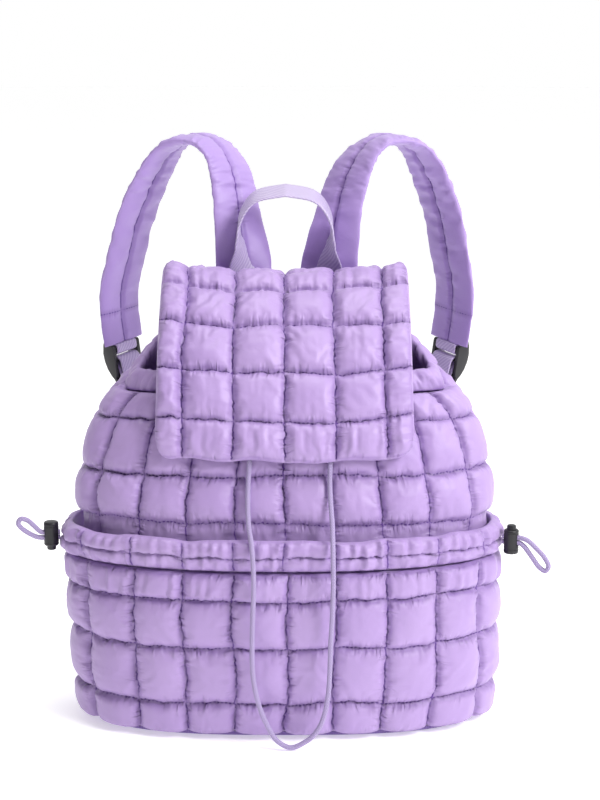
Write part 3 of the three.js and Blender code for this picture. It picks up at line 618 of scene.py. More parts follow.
def crown(share: Array) -> Array:
    """Height of wadding across a cell: full in the middle and none at the seams."""
    return np.maximum(0.0, 1 - np.abs(2 * share - 1) ** 2.8) ** 0.5


@dataclass
class SheetGrid:
    """Vertices of a quilted sheet: their places on it, and how far they are from seams and edges.

    u and v are the pattern's own coordinates, s and t are shares of a cell, and iu and iv number
    the cells. mu and mv and what starts with near and edge are in millimetres.
    """

    u: Array
    v: Array
    s: Array
    t: Array
    iu: Array
    iv: Array
    mu: Array
    mv: Array
    near_u: Array
    near_v: Array
    edge_u: Array
    edge_v: Array


@dataclass
class Quilt:
    """A padded wall with seams both ways, made as a fine sheet, a lining and a closed edge.

    puff is the height of each cell's wadding. row_folds and column_folds are the heights of the
    small folds that run across the rows' seams and across the columns' seams. Each is one number,
    or a table by column and row. margin is the calm border without folds, and held_folds is the
    share of their height that is left at the stitches. wander and drift are how far the seams
    stray in long and in short waves, and jag how far from stitch to stitch. What ends with wave
    gives half a typical wave along and across, and what ends with reach says how far from the
    stitches it is seen. All are in millimetres, but not the shares uneven, rumple and fold_fade.
    """

    name: str
    seams_u: Sequence[float]
    seams_v: Sequence[float]
    steps_u: Sequence[int]
    steps_v: Sequence[int]
    place: Callable[[Array, Array, Array], Array]
    millimetres: tuple[float, float]
    puff: Array | float
    row_folds: Array | float
    column_folds: Array | float
    wall: float
    closed: bool = False
    seed: int = 1
    wander: float = 2.9
    wander_wave: tuple = (52, 46)
    drift: float = 0.8
    drift_wave: tuple = (12, 9)
    jag: float = 1.1
    jag_wave: float = 2.3
    uneven: float = 0.13
    rumple: float = 0.08
    rumple_wave: float = 17.0
    pucker: float = 1.35
    pucker_reach: float = 4.4
    pucker_wave: tuple = (12, 2.5)
    tug: float = 1.1
    tug_wave: tuple = (4.2, 20)
    fold_wave: tuple = (3.9, 24)
    fold_fade: float = 0.4
    gather_reach: float = 4.0
    lining_steps: int = 6
    row_stitch: float = 1.0
    margin: float = 10.0
    held_folds: float = 0.2
    edge_clear: float = 9.0
    pressure: float = 3.0
    cap: float = 3.5
    sheet: bpy.types.Object | None = None
    kept: dict = field(default_factory=dict)

    @staticmethod
    def _stations(seams: Sequence[float], steps: Sequence[int]) -> tuple[Array, Array, Array]:
        """Spread vertices over cells.

        Args:
            seams: The seams' places.
            steps: How many vertices each cell takes.

        Returns:
            The vertices' places, shares of a cell and cell numbers.
        """
        at, share, cell = [], [], []
        for i, count in enumerate(steps):
            part = np.arange(count) / count
            at.append(seams[i] + part * (seams[i + 1] - seams[i]))
            share.append(part)
            cell.append(np.full(count, i))
        at.append([seams[-1]])
        share.append([0.0])
        cell.append([len(steps) - 1])
        return np.concatenate(at), np.concatenate(share), np.concatenate(cell)

    def _grid(self) -> SheetGrid:
        """Number and measure the sheet's vertices.

        Returns:
            Their places, cells and distances.
        """
        at_u, share_u, cell_u = self._stations(self.seams_u, self.steps_u)
        at_v, share_v, cell_v = self._stations(self.seams_v, self.steps_v)
        if self.closed:
            at_u, share_u, cell_u = at_u[:-1], share_u[:-1], cell_u[:-1]
        u, v = np.meshgrid(at_u, at_v, indexing="ij")
        s, t = np.meshgrid(share_u, share_v, indexing="ij")
        iu, iv = np.meshgrid(cell_u, cell_v, indexing="ij")
        scale_u, scale_v = self.millimetres
        span_u, span_v = np.diff(self.seams_u)[iu] * scale_u, np.diff(self.seams_v)[iv] * scale_v
        near_u, near_v = np.minimum(s, 1 - s) * span_u, np.minimum(t, 1 - t) * span_v
        edge_u = np.full(u.shape, FAR) if self.closed else \
            np.minimum(u - self.seams_u[0], self.seams_u[-1] - u) * scale_u
        edge_v = np.minimum(v - self.seams_v[0], self.seams_v[-1] - v) * scale_v
        return SheetGrid(u, v, s, t, iu, iv, u * scale_u, v * scale_v, near_u, near_v, edge_u, edge_v)

    def _by_cell(self, table: Array | float, grid: SheetGrid) -> Array:
        """Give each vertex the value of its cell in a table."""
        return np.broadcast_to(table, (len(self.steps_u), len(self.steps_v)))[grid.iu, grid.iv]

    def _shifts(self, grid: SheetGrid) -> tuple[Array, Array]:
        """Let the seams wander, and serrate them from stitch to stitch.

        Args:
            grid: The sheet's vertices.

        Returns:
            How far each vertex moves along the cloth both ways, in millimetres.
        """
        mu, mv, seed = grid.mu, grid.mv, self.seed
        serrate_u = self.jag * ripple(mv, grid.iu * 7.0, (self.jag_wave, 1), seed + 5)
        serrate_v = self.jag * ripple(mu, grid.iv * 7.0, (self.jag_wave, 1), seed + 6)
        on_column = (grid.s < ON_SEAM) & (grid.edge_u > ON_SEAM)
        on_row = (grid.t < ON_SEAM) & (grid.edge_v > ON_SEAM)
        shift_u = self.wander * ripple(mu, mv, self.wander_wave, seed) \
            + self.drift * ripple(mu, mv, self.drift_wave, seed + 1) + np.where(on_column, serrate_u, 0)
        shift_v = 0.8 * self.wander * ripple(mu, mv, self.wander_wave[::-1], seed + 2) \
            + self.drift * ripple(mu, mv, self.drift_wave[::-1], seed + 3) + np.where(on_row, serrate_v, 0)
        return shift_u * np.clip(grid.edge_u / 10, 0, 1), shift_v * np.clip(grid.edge_v / 10, 0, 1)

    def _relief(self, grid: SheetGrid, stitched: Array) -> Array:
        """Work out how high the cloth stands.

        Args:
            grid: The sheet's vertices.
            stitched: Which of them are sewn down.

        Returns:
            Wadding, puckers along the stitches, tugged creases and gathered folds, in millimetres.
        """
        mu, mv, seed = grid.mu, grid.mv, self.seed
        fullness = 1 + self.uneven * ripple(grid.iu * 1.0, grid.iv * 1.0, (1, 1), seed + 4) \
            + self.rumple * ripple(mu, mv, (self.rumple_wave, self.rumple_wave), seed + 7)
        wadding = self._by_cell(self.puff, grid) * crown(grid.s) * crown(grid.t) * fullness
        lively = 0.75 + 0.6 * ripple(mu, mv, (26, 26), seed + 8)
        pucker = self.pucker * lively * (
            np.exp(-grid.near_u / self.pucker_reach) * ripple(mu, mv, self.pucker_wave, seed + 9)
            + np.exp(-grid.near_v / self.pucker_reach) * ripple(mu, mv, self.pucker_wave[::-1], seed + 10))
        tugged = ripple(mu, mv, (38, 38), seed + 13)
        down, up = (mu + mv) * 0.7, (mu - mv) * 0.7
        pucker = pucker + self.tug * np.clip(tugged, 0, 1) * ripple(down, up, self.tug_wave, seed + 14) \
            + self.tug * np.clip(-tugged, 0, 1) * ripple(down, up, self.tug_wave[::-1], seed + 15)
        folds = self._by_cell(self.row_folds, grid) \
            * ripple(mu, mv, self.fold_wave, seed + 11) * (1 - self.fold_fade * crown(grid.t)) \
            + self._by_cell(self.column_folds, grid) \
            * ripple(mu, mv, self.fold_wave[::-1], seed + 12) * (1 - self.fold_fade * crown(grid.s))
        inside = np.clip(grid.edge_u / self.margin, 0, 1) * np.clip(grid.edge_v / self.margin, 0, 1)
        held, free = 0.25 * pucker + self.held_folds * folds, pucker + folds
        return wadding + np.where(stitched, held, free) * inside

    def build_sheet(self) -> None:
        """Lay out the outer cloth, and mark the stitched and the gathered vertices."""
        grid = self._grid()
        stitched = (grid.s < ON_SEAM) | (grid.t < ON_SEAM)
        if not self.closed:
            stitched[0, :] = stitched[-1, :] = True
        stitched[:, 0] = stitched[:, -1] = True
        shift_u, shift_v = self._shifts(grid)
        points = self.place(grid.u + shift_u / self.millimetres[0], grid.v + shift_v / self.millimetres[1],
                            self._relief(grid, stitched))
        border = np.minimum(grid.edge_u, grid.edge_v) < ON_SEAM
        line_u = np.where(border, self.edge_clear, grid.near_u)
        line_v = np.where(border, self.edge_clear, grid.near_v / self.row_stitch)
        layers = {"cloth": np.stack([grid.mu, grid.mv], axis=-1).reshape(-1, 2) * MM,
                  "seams": np.stack([line_u, line_v], axis=-1).reshape(-1, 2) * MM}
        self.sheet = make_mesh(self.name, points.reshape(-1, 3),
                               grid_faces(*points.shape[:2], wrap=self.closed), layers)
        held = self.sheet.vertex_groups.new(name="stitched")
        held.add([int(i) for i in np.flatnonzero(stitched.ravel())], 1.0, "REPLACE")
        gathered = self.sheet.vertex_groups.new(name="gathered")
        weight = np.exp(-np.minimum(grid.near_u, grid.near_v) / self.gather_reach).ravel()
        for step in range(1, 11):
            chosen = np.flatnonzero(np.round(weight * 10) == step)
            gathered.add([int(i) for i in chosen], step / 10, "REPLACE")
        self.kept = {"u": grid.u[:, 0], "v": grid.v[0], "start": points.reshape(-1, 3), "layers": layers}

    def start_cloth(self, frames: int) -> None:
        """Set the sheet up as cloth that wadding presses out between its stitches.

        Args:
            frames: How many steps it runs for.
        """
        select_only(self.sheet)
        bpy.ops.object.modifier_add(type="CLOTH")
        cloth = self.sheet.modifiers[-1]
        cloth.point_cache.frame_start, cloth.point_cache.frame_end = 1, frames
        settings = cloth.settings
        settings.quality = 4
        settings.mass = 0.12
        settings.air_damping = 5.0
        settings.tension_stiffness = settings.compression_stiffness = 14
        settings.shear_stiffness = 5
        settings.bending_stiffness = 0.5
        settings.tension_damping = settings.compression_damping = 8
        settings.use_pressure = True
        settings.uniform_pressure_force = self.pressure
        settings.vertex_group_shrink = "gathered"
        settings.shrink_min = -0.01
        settings.shrink_max = -0.16
        settings.vertex_group_mass = "stitched"
        settings.pin_stiffness = 1.0
        settings.effector_weights.gravity = 0.0
        cloth.collision_settings.use_collision = False
        cloth.collision_settings.use_self_collision = False

    def end_cloth(self) -> None:
        """Apply the cloth and keep each point near where the pattern puts it."""
        select_only(self.sheet)
        bpy.ops.object.modifier_apply(modifier=self.sheet.modifiers[-1].name)
        mesh = self.sheet.data
        now = np.empty(len(mesh.vertices) * 3)
        mesh.vertices.foreach_get("co", now)
        now = now.reshape(-1, 3) / MM
        move = now - self.kept["start"]
        length = np.linalg.norm(move, axis=1)
        LOG.info("%s moved %.1f mm at most, %.1f mm on average", self.name, length.max(), length.mean())
        allowed = self.cap * np.tanh(length / self.cap)
        now = self.kept["start"] + move * (allowed / np.maximum(length, 1e-6))[:, None]
        mesh.vertices.foreach_set("co", (now * MM).ravel())
        mesh.update()

    def close(self) -> bpy.types.Object:
        """Add the plain lining and join the two along the edges.

        Returns:
            The finished closed wall.
        """
        mesh = self.sheet.data
        outer = np.empty(len(mesh.vertices) * 3)
        mesh.vertices.foreach_get("co", outer)
        outer = outer.reshape(-1, 3) / MM
        at_u, at_v = self.kept["u"], self.kept["v"]
        width, height = len(at_u), len(at_v)
        in_u, in_v = (self._stations(seams, [self.lining_steps] * len(steps))[0]
                      for seams, steps in ((self.seams_u, self.steps_u), (self.seams_v, self.steps_v)))
        in_u = in_u[:-1] if self.closed else in_u
        u, v = np.meshgrid(in_u, in_v, indexing="ij")
        inner = self.place(u, v, np.full(u.shape, -self.wall)).reshape(-1, 3)
        first = len(outer)
        faces = [tuple(q) for q in grid_faces(width, height, wrap=self.closed)]
        faces += [tuple(q) for q in grid_faces(len(in_u), len(in_v), self.closed, True, first)]
        outer_ids = np.arange(len(outer)).reshape(width, height)
        inner_ids = np.arange(len(inner)).reshape(len(in_u), len(in_v)) + first
        ring_at, ring_in = at_u, in_u
        if self.closed:
            outer_ids = np.vstack([outer_ids, outer_ids[:1]])
            inner_ids = np.vstack([inner_ids, inner_ids[:1]])
            ring_at = np.append(at_u, self.seams_u[-1])
            ring_in = np.append(in_u, self.seams_u[-1])
        faces += zip_edges(outer_ids[:, 0], inner_ids[:, 0], ring_at, ring_in, True)
        faces += zip_edges(outer_ids[:, -1], inner_ids[:, -1], ring_at, ring_in, False)
        if not self.closed:
            faces += zip_edges(outer_ids[0], inner_ids[0], at_v, in_v, False)
            faces += zip_edges(outer_ids[-1], inner_ids[-1], at_v, in_v, True)
        inner_cloth = np.stack([u, v], axis=-1).reshape(-1, 2) * np.array(self.millimetres) * MM
        layers = {"cloth": np.vstack([self.kept["layers"]["cloth"], inner_cloth]),
                  "seams": np.vstack([self.kept["layers"]["seams"], np.full((len(inner), 2), FAR * MM)])}
        bpy.data.objects.remove(self.sheet)
        return make_mesh(self.name + "_cloth", np.vstack([outer, inner]), faces, layers)


def steps_for(lengths: Sequence[float], spacing: float) -> list[int]:
    """Number of quads that each cell takes at a spacing in millimetres."""
    return [max(4, 2 * round(length / spacing / 2)) for length in lengths]


class PaddedWalls:
    """The shell, the pocket, its hem and the flap: all the quilted walls of the bag."""

    column: float = 39.5  # Millimetres of cloth to a column.

    def __init__(self, shell: ShellForm, pocket: PocketForm, flap: FlapForm) -> None:
        """Keep the forms.

        Args:
            shell: The bag's shell.
            pocket: The front pocket.
            flap: The cover flap.
        """
        self.shell, self.pocket, self.flap = shell, pocket, flap
        self.skin = shell.surface()
        self.level_skin = shell.surface(level_out=True)
        self.flap_surface = flap.surface(shell)

    def shell_quilt(self) -> Quilt:
        """Describe the shell's quilted wall, flatter at the back and under the flap.

        Returns:
            The wall.
        """
        aside = np.abs(np.arange(20) + 0.5 - 10)[:, None]
        row = np.arange(7)[None, :]
        covered = (row < 4) & (aside < 6)
        puff = np.where(aside > 6, 3.8, np.where(covered, 1.2, 8.0))
        return Quilt("bag_body", range(-10, 11), range(8), [22] * 20, [12, 12, 14, 22, 22, 26, 18],
                     self.skin.place, (self.column, 40.0), puff=puff, row_folds=np.where(row == 6, 1.3, 0.35),
                     column_folds=0.3, wall=self.shell.wall, closed=True, seed=11, lining_steps=2)

    def pocket_quilt(self) -> Quilt:
        """Describe the front pocket's quilted wall.

        Returns:
            The wall.
        """
        def place(column: Array, row: Array, offset: Array) -> Array:
            """Put points on the pocket's seam surface.

            Args:
                column: Columns from the middle of the front.
                row: Shares of the pocket's height.
                offset: Distances outwards.

            Returns:
                The points.
            """
            z = self.shell.bottom + row * self.pocket.height
            standoff = self.pocket.standoff(column, z, self.shell) + self.pocket.wall
            points = self.level_skin.place(column, self.shell.level_at(z), standoff + offset)
            points[..., 2] -= 0.6 * np.exp(-row / 0.07) * np.clip(offset, 0, 8)
            return points

        columns = [-5.5, *range(-5, 6), 5.5]
        heights = np.diff(self.pocket.rows) * self.pocket.height
        return Quilt("front_pocket", columns, self.pocket.rows,
                     steps_for(np.diff(columns) * self.column, 1.7), steps_for(heights, 1.7),
                     place, (self.column, self.pocket.height), puff=7.8,
                     row_folds=np.array([0.35, 0.35, 0.35, 1.9]), column_folds=0.3,
                     wall=self.pocket.wall, seed=31)

    def hem_quilt(self) -> Quilt:
        """Describe the pocket's gathered hem, sewn through along its middle for the cord.

        Returns:
            The wall.
        """
        middle = self.pocket.hem_middle(self.shell)
        level = self.shell.level_at(middle)

        def place(column: Array, share: Array, offset: Array) -> Array:
            """Put points on the hem's seam surface.

            Args:
                column: Columns from the middle of the front.
                share: Shares of the hem's height.
                offset: Distances outwards.

            Returns:
                The points.
            """
            tuck = 4.2 * np.abs(2 * share - 1) ** 3 * np.clip(1 + offset / 6, 0, 1)
            standoff = self.pocket.standoff(column, middle, self.shell) + 6.5 - tuck
            points = self.skin.place(column, level, standoff + offset)
            points[..., 2] += (share - 0.48) * (self.pocket.hem_height - 1)
            points[..., 2] += 1.5 * share * ripple(column * self.column, 0 * column, (15, 1), 97)
            return points

        columns = [-5.5, *range(-5, 6), 5.5]
        return Quilt("pocket_hem", columns, [0, 0.47, 1], steps_for(np.diff(columns) * self.column, 1.5),
                     [10, 10], place, (self.column, self.pocket.hem_height), puff=3.7, row_folds=4.2,
                     column_folds=0.0, wall=self.pocket.hem_thickness / 2, seed=83, wander=1.2, jag=0.9,
                     cap=2.0, row_stitch=0.3, margin=3.0, held_folds=0.8)

    def flap_quilt(self) -> Quilt:
        """Describe the cover flap's quilted wall, with its gathered border.

        Returns:
            The wall.
        """
        tube = 1 - self.flap.side_tube / self.flap.half_width
        columns = [-1, -tube, -tube / 2, 0, tube / 2, tube, 1]
        lengths = [34, 21, 21, 28, 39, 42, 41, 31]

        def place(share: Array, row: Array, offset: Array) -> Array:
            """Put points on the flap, with a rippling edge and rounded corners.

            Args:
                share: Shares of the half width.
                row: Rows from the foot of the back strip.
                offset: Distances outwards.

            Returns:
                The points.
            """
            points = self.flap_surface.place(share, row, offset)
            low = np.clip(row - 7, 0, 1) ** 2
            corner = np.clip((np.abs(share) - 0.86) / 0.14, 0, 1) ** 2 * np.clip((row - 7.2) / 0.8, 0, 1) ** 2
            points[..., 2] += 2.4 * low * ripple(share * 100, row * 0, (24, 1), 71) + 7 * corner
            points[..., 0] -= np.sign(share) * 3.5 * corner
            return points

        return Quilt("flap", columns, range(9), steps_for(np.diff(columns) * self.flap.half_width, 1.5),
                     steps_for(lengths, 1.6), place, (self.flap.half_width, 32.0),
                     puff=np.array(self.flap.puffs) * 7.6,
                     row_folds=np.array([0.1, 0.1, 1.6, 1.3, 0.35, 0.3, 0.3, 2.2]),
                     column_folds=np.array([1.7, 0.3, 0.3, 0.3, 0.3, 1.7])[:, None],
                     wall=self.flap.wall, seed=57, row_stitch=0.7)

    def build(self, frames: int) -> list[bpy.types.Object]:
        """Make the quilted walls.

        Args:
            frames: How many steps the cloth runs for.

        Returns:
            The finished walls.
        """
        quilts = [self.shell_quilt(), self.pocket_quilt(), self.hem_quilt(), self.flap_quilt()]
        for quilt in quilts:
            quilt.build_sheet()
        for quilt in quilts:
            quilt.start_cloth(frames)
        scene = bpy.context.scene
        scene.frame_start, scene.frame_end = 1, frames
        for number in range(1, frames + 1):
            scene.frame_set(number)
        for quilt in quilts:
            quilt.end_cloth()
        walls = [quilt.close() for quilt in quilts]
        for quilt, wall in zip(quilts, walls):
            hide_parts(quilt.name)
        return walls


@dataclass
class MouthCasing:
    """Gathered channel round the mouth.

    pleat and crinkle are the heights of its large and small folds, as shares of half its thickness,
    and what ends with wave gives half a typical fold along and round it, in millimetres.
    """

    thickness: float = 10.0
    fold_ease: float = 0.5
    plumpness: float = 0.9
    pleat: float = 0.42
    pleat_wave: tuple = (3.6, 11)
    crinkle: float = 0.14
    crinkle_wave: tuple = (1.8, 6)
    rings: int = 520
    around: int = 26
    column: float = 30.0  # Millimetres of gathered cloth to a column.
    turn: float = 6.0  # Millimetres of cloth to a radian round the channel.

    def build(self, shell: ShellForm) -> bpy.types.Object:
        """Make the channel.

        Args:
            shell: The bag's shell.

        Returns:
            The finished piece.
        """
        skin = shell.surface()
        column = np.linspace(-shell.half_columns, shell.half_columns, self.rings, endpoint=False)
        level = float(shell.casing_level)
        bottom, rim = skin.place(column, level), skin.place(column, level + 1)
        across = unit(skin.place(column + 0.15, level) - skin.place(column - 0.15, level))
        up = unit(rim - bottom)
        out = unit(np.cross(across, up))
        shell_up = unit(np.cross(skin.outward(column, level), across))
        fold = self.thickness / 2 * np.linalg.norm(np.cross(up, shell_up), axis=1)
        foot = bottom + up * (SEAT_GAP + self.fold_ease * fold)[:, None]
        half_height = np.linalg.norm(rim - foot, axis=1) / 2
        angle = 2 * math.pi * (np.arange(self.around) + 0.5) / self.around
        around, along = np.meshgrid(angle * self.turn, column * self.column)
        pleats = self.pleat * ripple(along, around, self.pleat_wave, 5) \
            + self.crinkle * ripple(along, around, self.crinkle_wave, 6)
        half = self.thickness / 2 * (self.plumpness + pleats)
        rise = half_height[:, None] * (1 + np.sin(angle) * (1 + 0.2 * pleats))
        rings = foot[:, None] + up[:, None] * rise[..., None] \
            + out[:, None] * (np.cos(angle) * half - shell.wall / 2)[..., None]
        piece = sweep("mouth_casing_cloth", rings, closed=True)
        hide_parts("mouth_casing")
        return piece


@dataclass
class BasePanel:
    """Padded bottom with a soft edge.

    profile gives pairs of a share of the outline and a height, from below over the edge to above.
    """

    inset: float = 4.5
    corners: int = 240
    profile: tuple = ((0.02, 0.0), (0.25, 0.0), (0.5, 0.0), (0.75, 0.0), (0.94, 0.05), (0.975, 0.6),
                      (0.992, 1.8), (1, 3.2), (0.992, 4.7), (0.97, 5.7), (0.9, 6.0), (0.6, 6.0),
                      (0.3, 6.0), (0.02, 6.0))

    def build(self, shell: ShellForm, pocket: PocketForm) -> bpy.types.Object:
        """Make the bottom.

        Args:
            shell: The bag's shell.
            pocket: The front pocket, which the bottom reaches out to.

        Returns:
            The finished piece.
        """
        column = np.linspace(-shell.half_columns, shell.half_columns, self.corners, endpoint=False)
        blend = np.clip((pocket.half_span + 0.25 - np.abs(column)) / 0.5, 0, 1)
        reach = (pocket.standoff(column, shell.bottom, shell) + pocket.wall) * blend
        edge = shell.surface().place(column, 0.0, reach - self.inset)
        centre = edge.mean(axis=0)
        rings = np.stack([centre + (edge - centre) * share for share, _ in self.profile])
        for ring, (_, z) in zip(rings, self.profile):
            ring[:, 2] = z
        piece = sweep("base_panel_cloth", rings)
        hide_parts("base_panel")
        return piece


# Handle, straps and buckles

@dataclass
class TopHandle:
    """Webbing grab loop on the flap's back strip.

    outs, ups and leans are shares of its span, rise and lean from a root to the middle, and
    twists turns the webbing in degrees.
    """

    width: float = 25.0
    thickness: float = 2.0
    root_rise: float = 2.0
    root_spacing: float = 70.0
    span: float = 76.0
    rise: float = 116.0
    lean: float = 7.0
    widest_row: int = 4
    outs: tuple = (0, 0.05, 0.2, 0.7, 1, 1.02, 0.9, 0.6, 0)
    ups: tuple = (0, 0.15, 0.3, 0.45, 0.6, 0.72, 0.86, 0.96, 1)
    leans: tuple = (0, 0, 0, 0.3, 0.7, 1, 1, 1, 1)
    twists: tuple = (0, 0, 6, 36, 76, 88, 90, 90, 90)
    tilt: float = 0.32
    steps: int = 181

    def build(self, root: Place) -> bpy.types.Object:
        """Make the loop.

        Args:
            root: The y and z of its roots.

        Returns:
            The finished piece.
        """
        share = np.linspace(-1, 1, self.steps)
        row = (1 - np.abs(share)) * (len(self.outs) - 1)
        side = np.where(share < 0, -1.0, 1.0)
        out = smooth_rows(self.outs, row)
        near = self.root_spacing + (self.span - self.root_spacing) * out
        reach = np.where(row < self.widest_row, near, self.span * out)
        twist = np.radians(smooth_rows(self.twists, row))
        at = np.stack([side * reach / 2, root[0] - self.lean * smooth_rows(self.leans, row),
                       root[1] + self.rise * smooth_rows(self.ups, row)], axis=1)
        across = np.stack([-side * np.cos(twist), np.sin(twist), self.tilt * np.sin(twist) ** 3], axis=1)
        piece = band("top_handle_webbing", at, across, self.width, self.thickness)
        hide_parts("top_handle")
        return piece


@dataclass
class ShoulderStrap:
    """One padded strap with its loop, buckle and lower webbing.

    outs, backs and ups are shares of its spread, lean and rise from the root to the end. turns is
    how far its width is turned, in degrees, and fullness how full its padding is. seam_dip and
    seam_share are the depth and the half width of the groove down its middle, as shares of its
    half thickness and half width. bend_at and bend_reach are shares of its length.
    """

    side: Side
    width: float = 48.0
    thickness: float = 9.0
    end_thickness: float = 5.0
    length: float = 430.0
    turn_in: float = 30.0
    root_rise: float = 4.0
    root_spacing: float = 72.0
    spread: float = 110.0
    lean: float = 61.0
    rise: float = 153.0
    apex_shift: float = 6.0
    edge_power: float = 3.2
    seam_dip: float = 0.55
    seam_share: float = 0.08
    bend_at: float = 0.42
    bend_reach: float = 0.2
    webbing_width: float = 25.0
    webbing_thickness: float = 1.6
    bar_radius: float = 1.8
    bar_spacing: float = 9.0
    lock_depth: float = 10.3
    tail: float = 62.0
    tail_lean: float = 0.2
    wall_puff: float = 3.3
    wall_column: float = 6.9
    wall_heights: tuple = (74, 58, 42, 26)
    outs: tuple = (0, 0, 0, 0.055, 0.09, 0.136, 0.22, 0.345, 0.49, 0.625, 0.73, 0.8, 0.89, 0.945, 1, 1, 0.973)
    backs: tuple = (0, 0.02, 0.03, 0.14, 0.23, 0.31, 0.39, 0.49, 0.59, 0.67, 0.74, 0.79, 0.85, 0.9, 0.95,
                    0.98, 1)
    ups: tuple = (0, 0.22, 0.32, 0.58, 0.71, 0.817, 0.918, 0.98, 0.98, 0.925, 0.8, 0.69, 0.51, 0.327, 0.14,
                  -0.013, -0.177)
    turns: tuple = (90, 88, 75, 52, 47, 42, 32, 25, 25, 30, 35, 38, 38, 38, 38, 38, 38)
    fullness: tuple = (0, 0.2, 0.8, 1, 1, 1, 1, 1, 1, 1, 1, 1, 1, 1, 0.8, 0.15, 0)

    def frames(self, root: Place, share: Array) -> tuple[Array, Array, Array, Array]:
        """Find places along the strap and its directions there.

        Args:
            root: The y and z of the strap's root.
            share: Shares of the strap's route.

        Returns:
            Places, and the directions along, across and to the outside.
        """
        sign, last = self.side.sign, len(self.outs) - 1
        rows = np.arange(last + 1)
        route = np.stack([
            sign * (self.root_spacing / 2 + np.array(self.outs) * self.spread)
            + self.apex_shift * np.sin(math.pi * rows / last) ** 2,
            root[0] + np.array(self.backs) * self.lean,
            root[1] + np.array(self.ups) * self.rise], axis=1)
        share = np.asarray(share, float)
        at = curve_at(route, share * last)
        ahead, behind = np.minimum(share + 0.01, 1), np.maximum(share - 0.01, 0)
        along = unit(curve_at(route, ahead * last) - curve_at(route, behind * last))
        turn = np.radians(smooth_rows(self.turns, share * last))
        across = np.stack([-sign * np.sin(turn), np.cos(turn), 0 * turn], axis=1)
        across = unit(across - along * (across * along).sum(axis=1, keepdims=True))
        return at, along, across, np.cross(along, across) * sign

    def end_matrix(self, root: Place) -> Matrix:
        """Find the strap's end and its directions there.

        Args:
            root: The y and z of the strap's root.

        Returns:
            A matrix with x across the strap, y to its outside and z up along it.
        """
        at, along, _, out = (values[0] for values in self.frames(root, np.array([1.0])))
        up = -along
        across = unit(np.cross(out, up))
        rows = [[*(float(v[k]) for v in (across, out, up)), float(at[k])] for k in range(3)]
        return Matrix(rows + [[0, 0, 0, 1]])

    def pad(self, root: Place) -> bpy.types.Object:
        """Make the padded strap, sewn down its middle.

        Args:
            root: The y and z of the strap's root.

        Returns:
            The finished piece.
        """
        share = np.linspace(0, 1, 260)
        at, _, across, out = self.frames(root, share)
        full = np.clip(smooth_rows(self.fullness, share * (len(self.outs) - 1)), 0, 1)
        half = (self.end_thickness + (self.thickness - self.end_thickness) * full) / 2
        face = np.sin(np.linspace(-1, 1, 27) * math.pi / 2)
        s = np.concatenate([face, face[-2:0:-1]])
        up = np.concatenate([np.ones(len(face)), -np.ones(len(face) - 2)])
        groove = self.seam_dip * np.exp(-((s / self.seam_share) ** 2))
        loft = np.maximum(0, 1 - np.abs(s) ** self.edge_power) ** 0.5 * (1 - groove)
        length = share[:, None] * self.length
        seed = 300 + self.side.sign
        x = s[None, :] * self.width / 2
        bent = np.exp(-(((share[:, None] - self.bend_at) / self.bend_reach) ** 2))
        across_face = x + 60 * up
        at_seam = (0.5 + 0.6 * bent) * ripple(across_face, length, (9, 2.9), seed) * np.exp(-np.abs(x) / 8)
        broad = (0.6 + 0.5 * (share[:, None] > 0.5)) * ripple(across_face, length, (13, 6.5), seed + 1)
        at_edge = (0.3 + 0.7 * bent) * ripple(across_face, length, (8, 3), seed + 2) \
            * np.clip(np.abs(s) * 2 - 1, 0, 1)
        wrinkle = at_seam + broad + at_edge
        height = half[:, None] * loft * up + wrinkle * up * full[:, None] * np.minimum(1, loft * 2)
        edge = 1 + 0.018 * ripple(length, 0 * length, (7, 7), seed + 3)
        rings = at[:, None] + across[:, None] * (x * edge)[..., None] + out[:, None] * height[..., None]
        turned_in = np.abs(length[:, 0] - self.length + self.turn_in)
        piece = sweep(f"shoulder_strap_{self.side.value}_pad", rings, seam=np.abs(s) * self.width / 2,
                      cross=turned_in)
        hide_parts(f"shoulder_strap_{self.side.value}")
        return piece

    def first_bar(self) -> float:
        """Distance of the lock's first bar below the strap's end."""
        return 2 * SEAT_GAP + self.webbing_thickness + self.bar_radius + 2

    def bar_bend(self) -> float:
        """Radius of the webbing's middle round a bar."""
        return self.bar_radius + SEAT_GAP + self.webbing_thickness / 2

    def loop(self, root: Place) -> bpy.types.Object:
        """Make the ring of webbing that holds the lock.

        Args:
            root: The y and z of the strap's root.

        Returns:
            The finished piece.
        """
        radius = self.bar_bend()
        top, bar, bend = SEAT_GAP + self.webbing_thickness / 2, self.first_bar(), 1.4
        route = [(bar + radius * math.sin(a), radius * math.cos(a)) for a in np.linspace(0, math.pi, 13)]
        route += [((bar + top) / 2 + 0.5, -radius)]
        route += [(top + bend - bend * math.sin(a), -radius + bend - bend * math.cos(a))
                  for a in np.linspace(0, math.pi / 2, 5)]
        route += [(top + bend - bend * math.cos(a), radius - bend + bend * math.sin(a))
                  for a in np.linspace(0, math.pi / 2, 5)]
        route += [((bar + top) / 2 + 0.5, radius)]
        at = np.array([(0, out, -down) for down, out in route])
        piece = band(f"strap_loop_{self.side.value}_webbing", at, np.tile([1.0, 0, 0], (len(at), 1)),
                     self.webbing_width, self.webbing_thickness, closed=True)
        self._move(piece, root)
        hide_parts(f"strap_loop_{self.side.value}")
        return piece

    def _move(self, piece: bpy.types.Object, root: Place) -> None:
        """Carry a piece from the lock's own place to the strap's end.

        Args:
            piece: The piece.
            root: The y and z of the strap's root.
        """
        matrix = self.end_matrix(root)
        matrix.translation *= MM
        piece.data.transform(matrix)

    def lock_route(self) -> list[Place]:
        """Lay the webbing through the lock, from its tail to where it leaves for the bag.

        Returns:
            Pairs of a distance below the strap's end and one to its outside.
        """
        first, spacing, wrap = self.first_bar(), self.bar_spacing, self.bar_bend()
        middle = (first + spacing, 0.29 * self.lock_depth)
        last = (first + 2 * spacing, 0.1 * self.lock_depth)

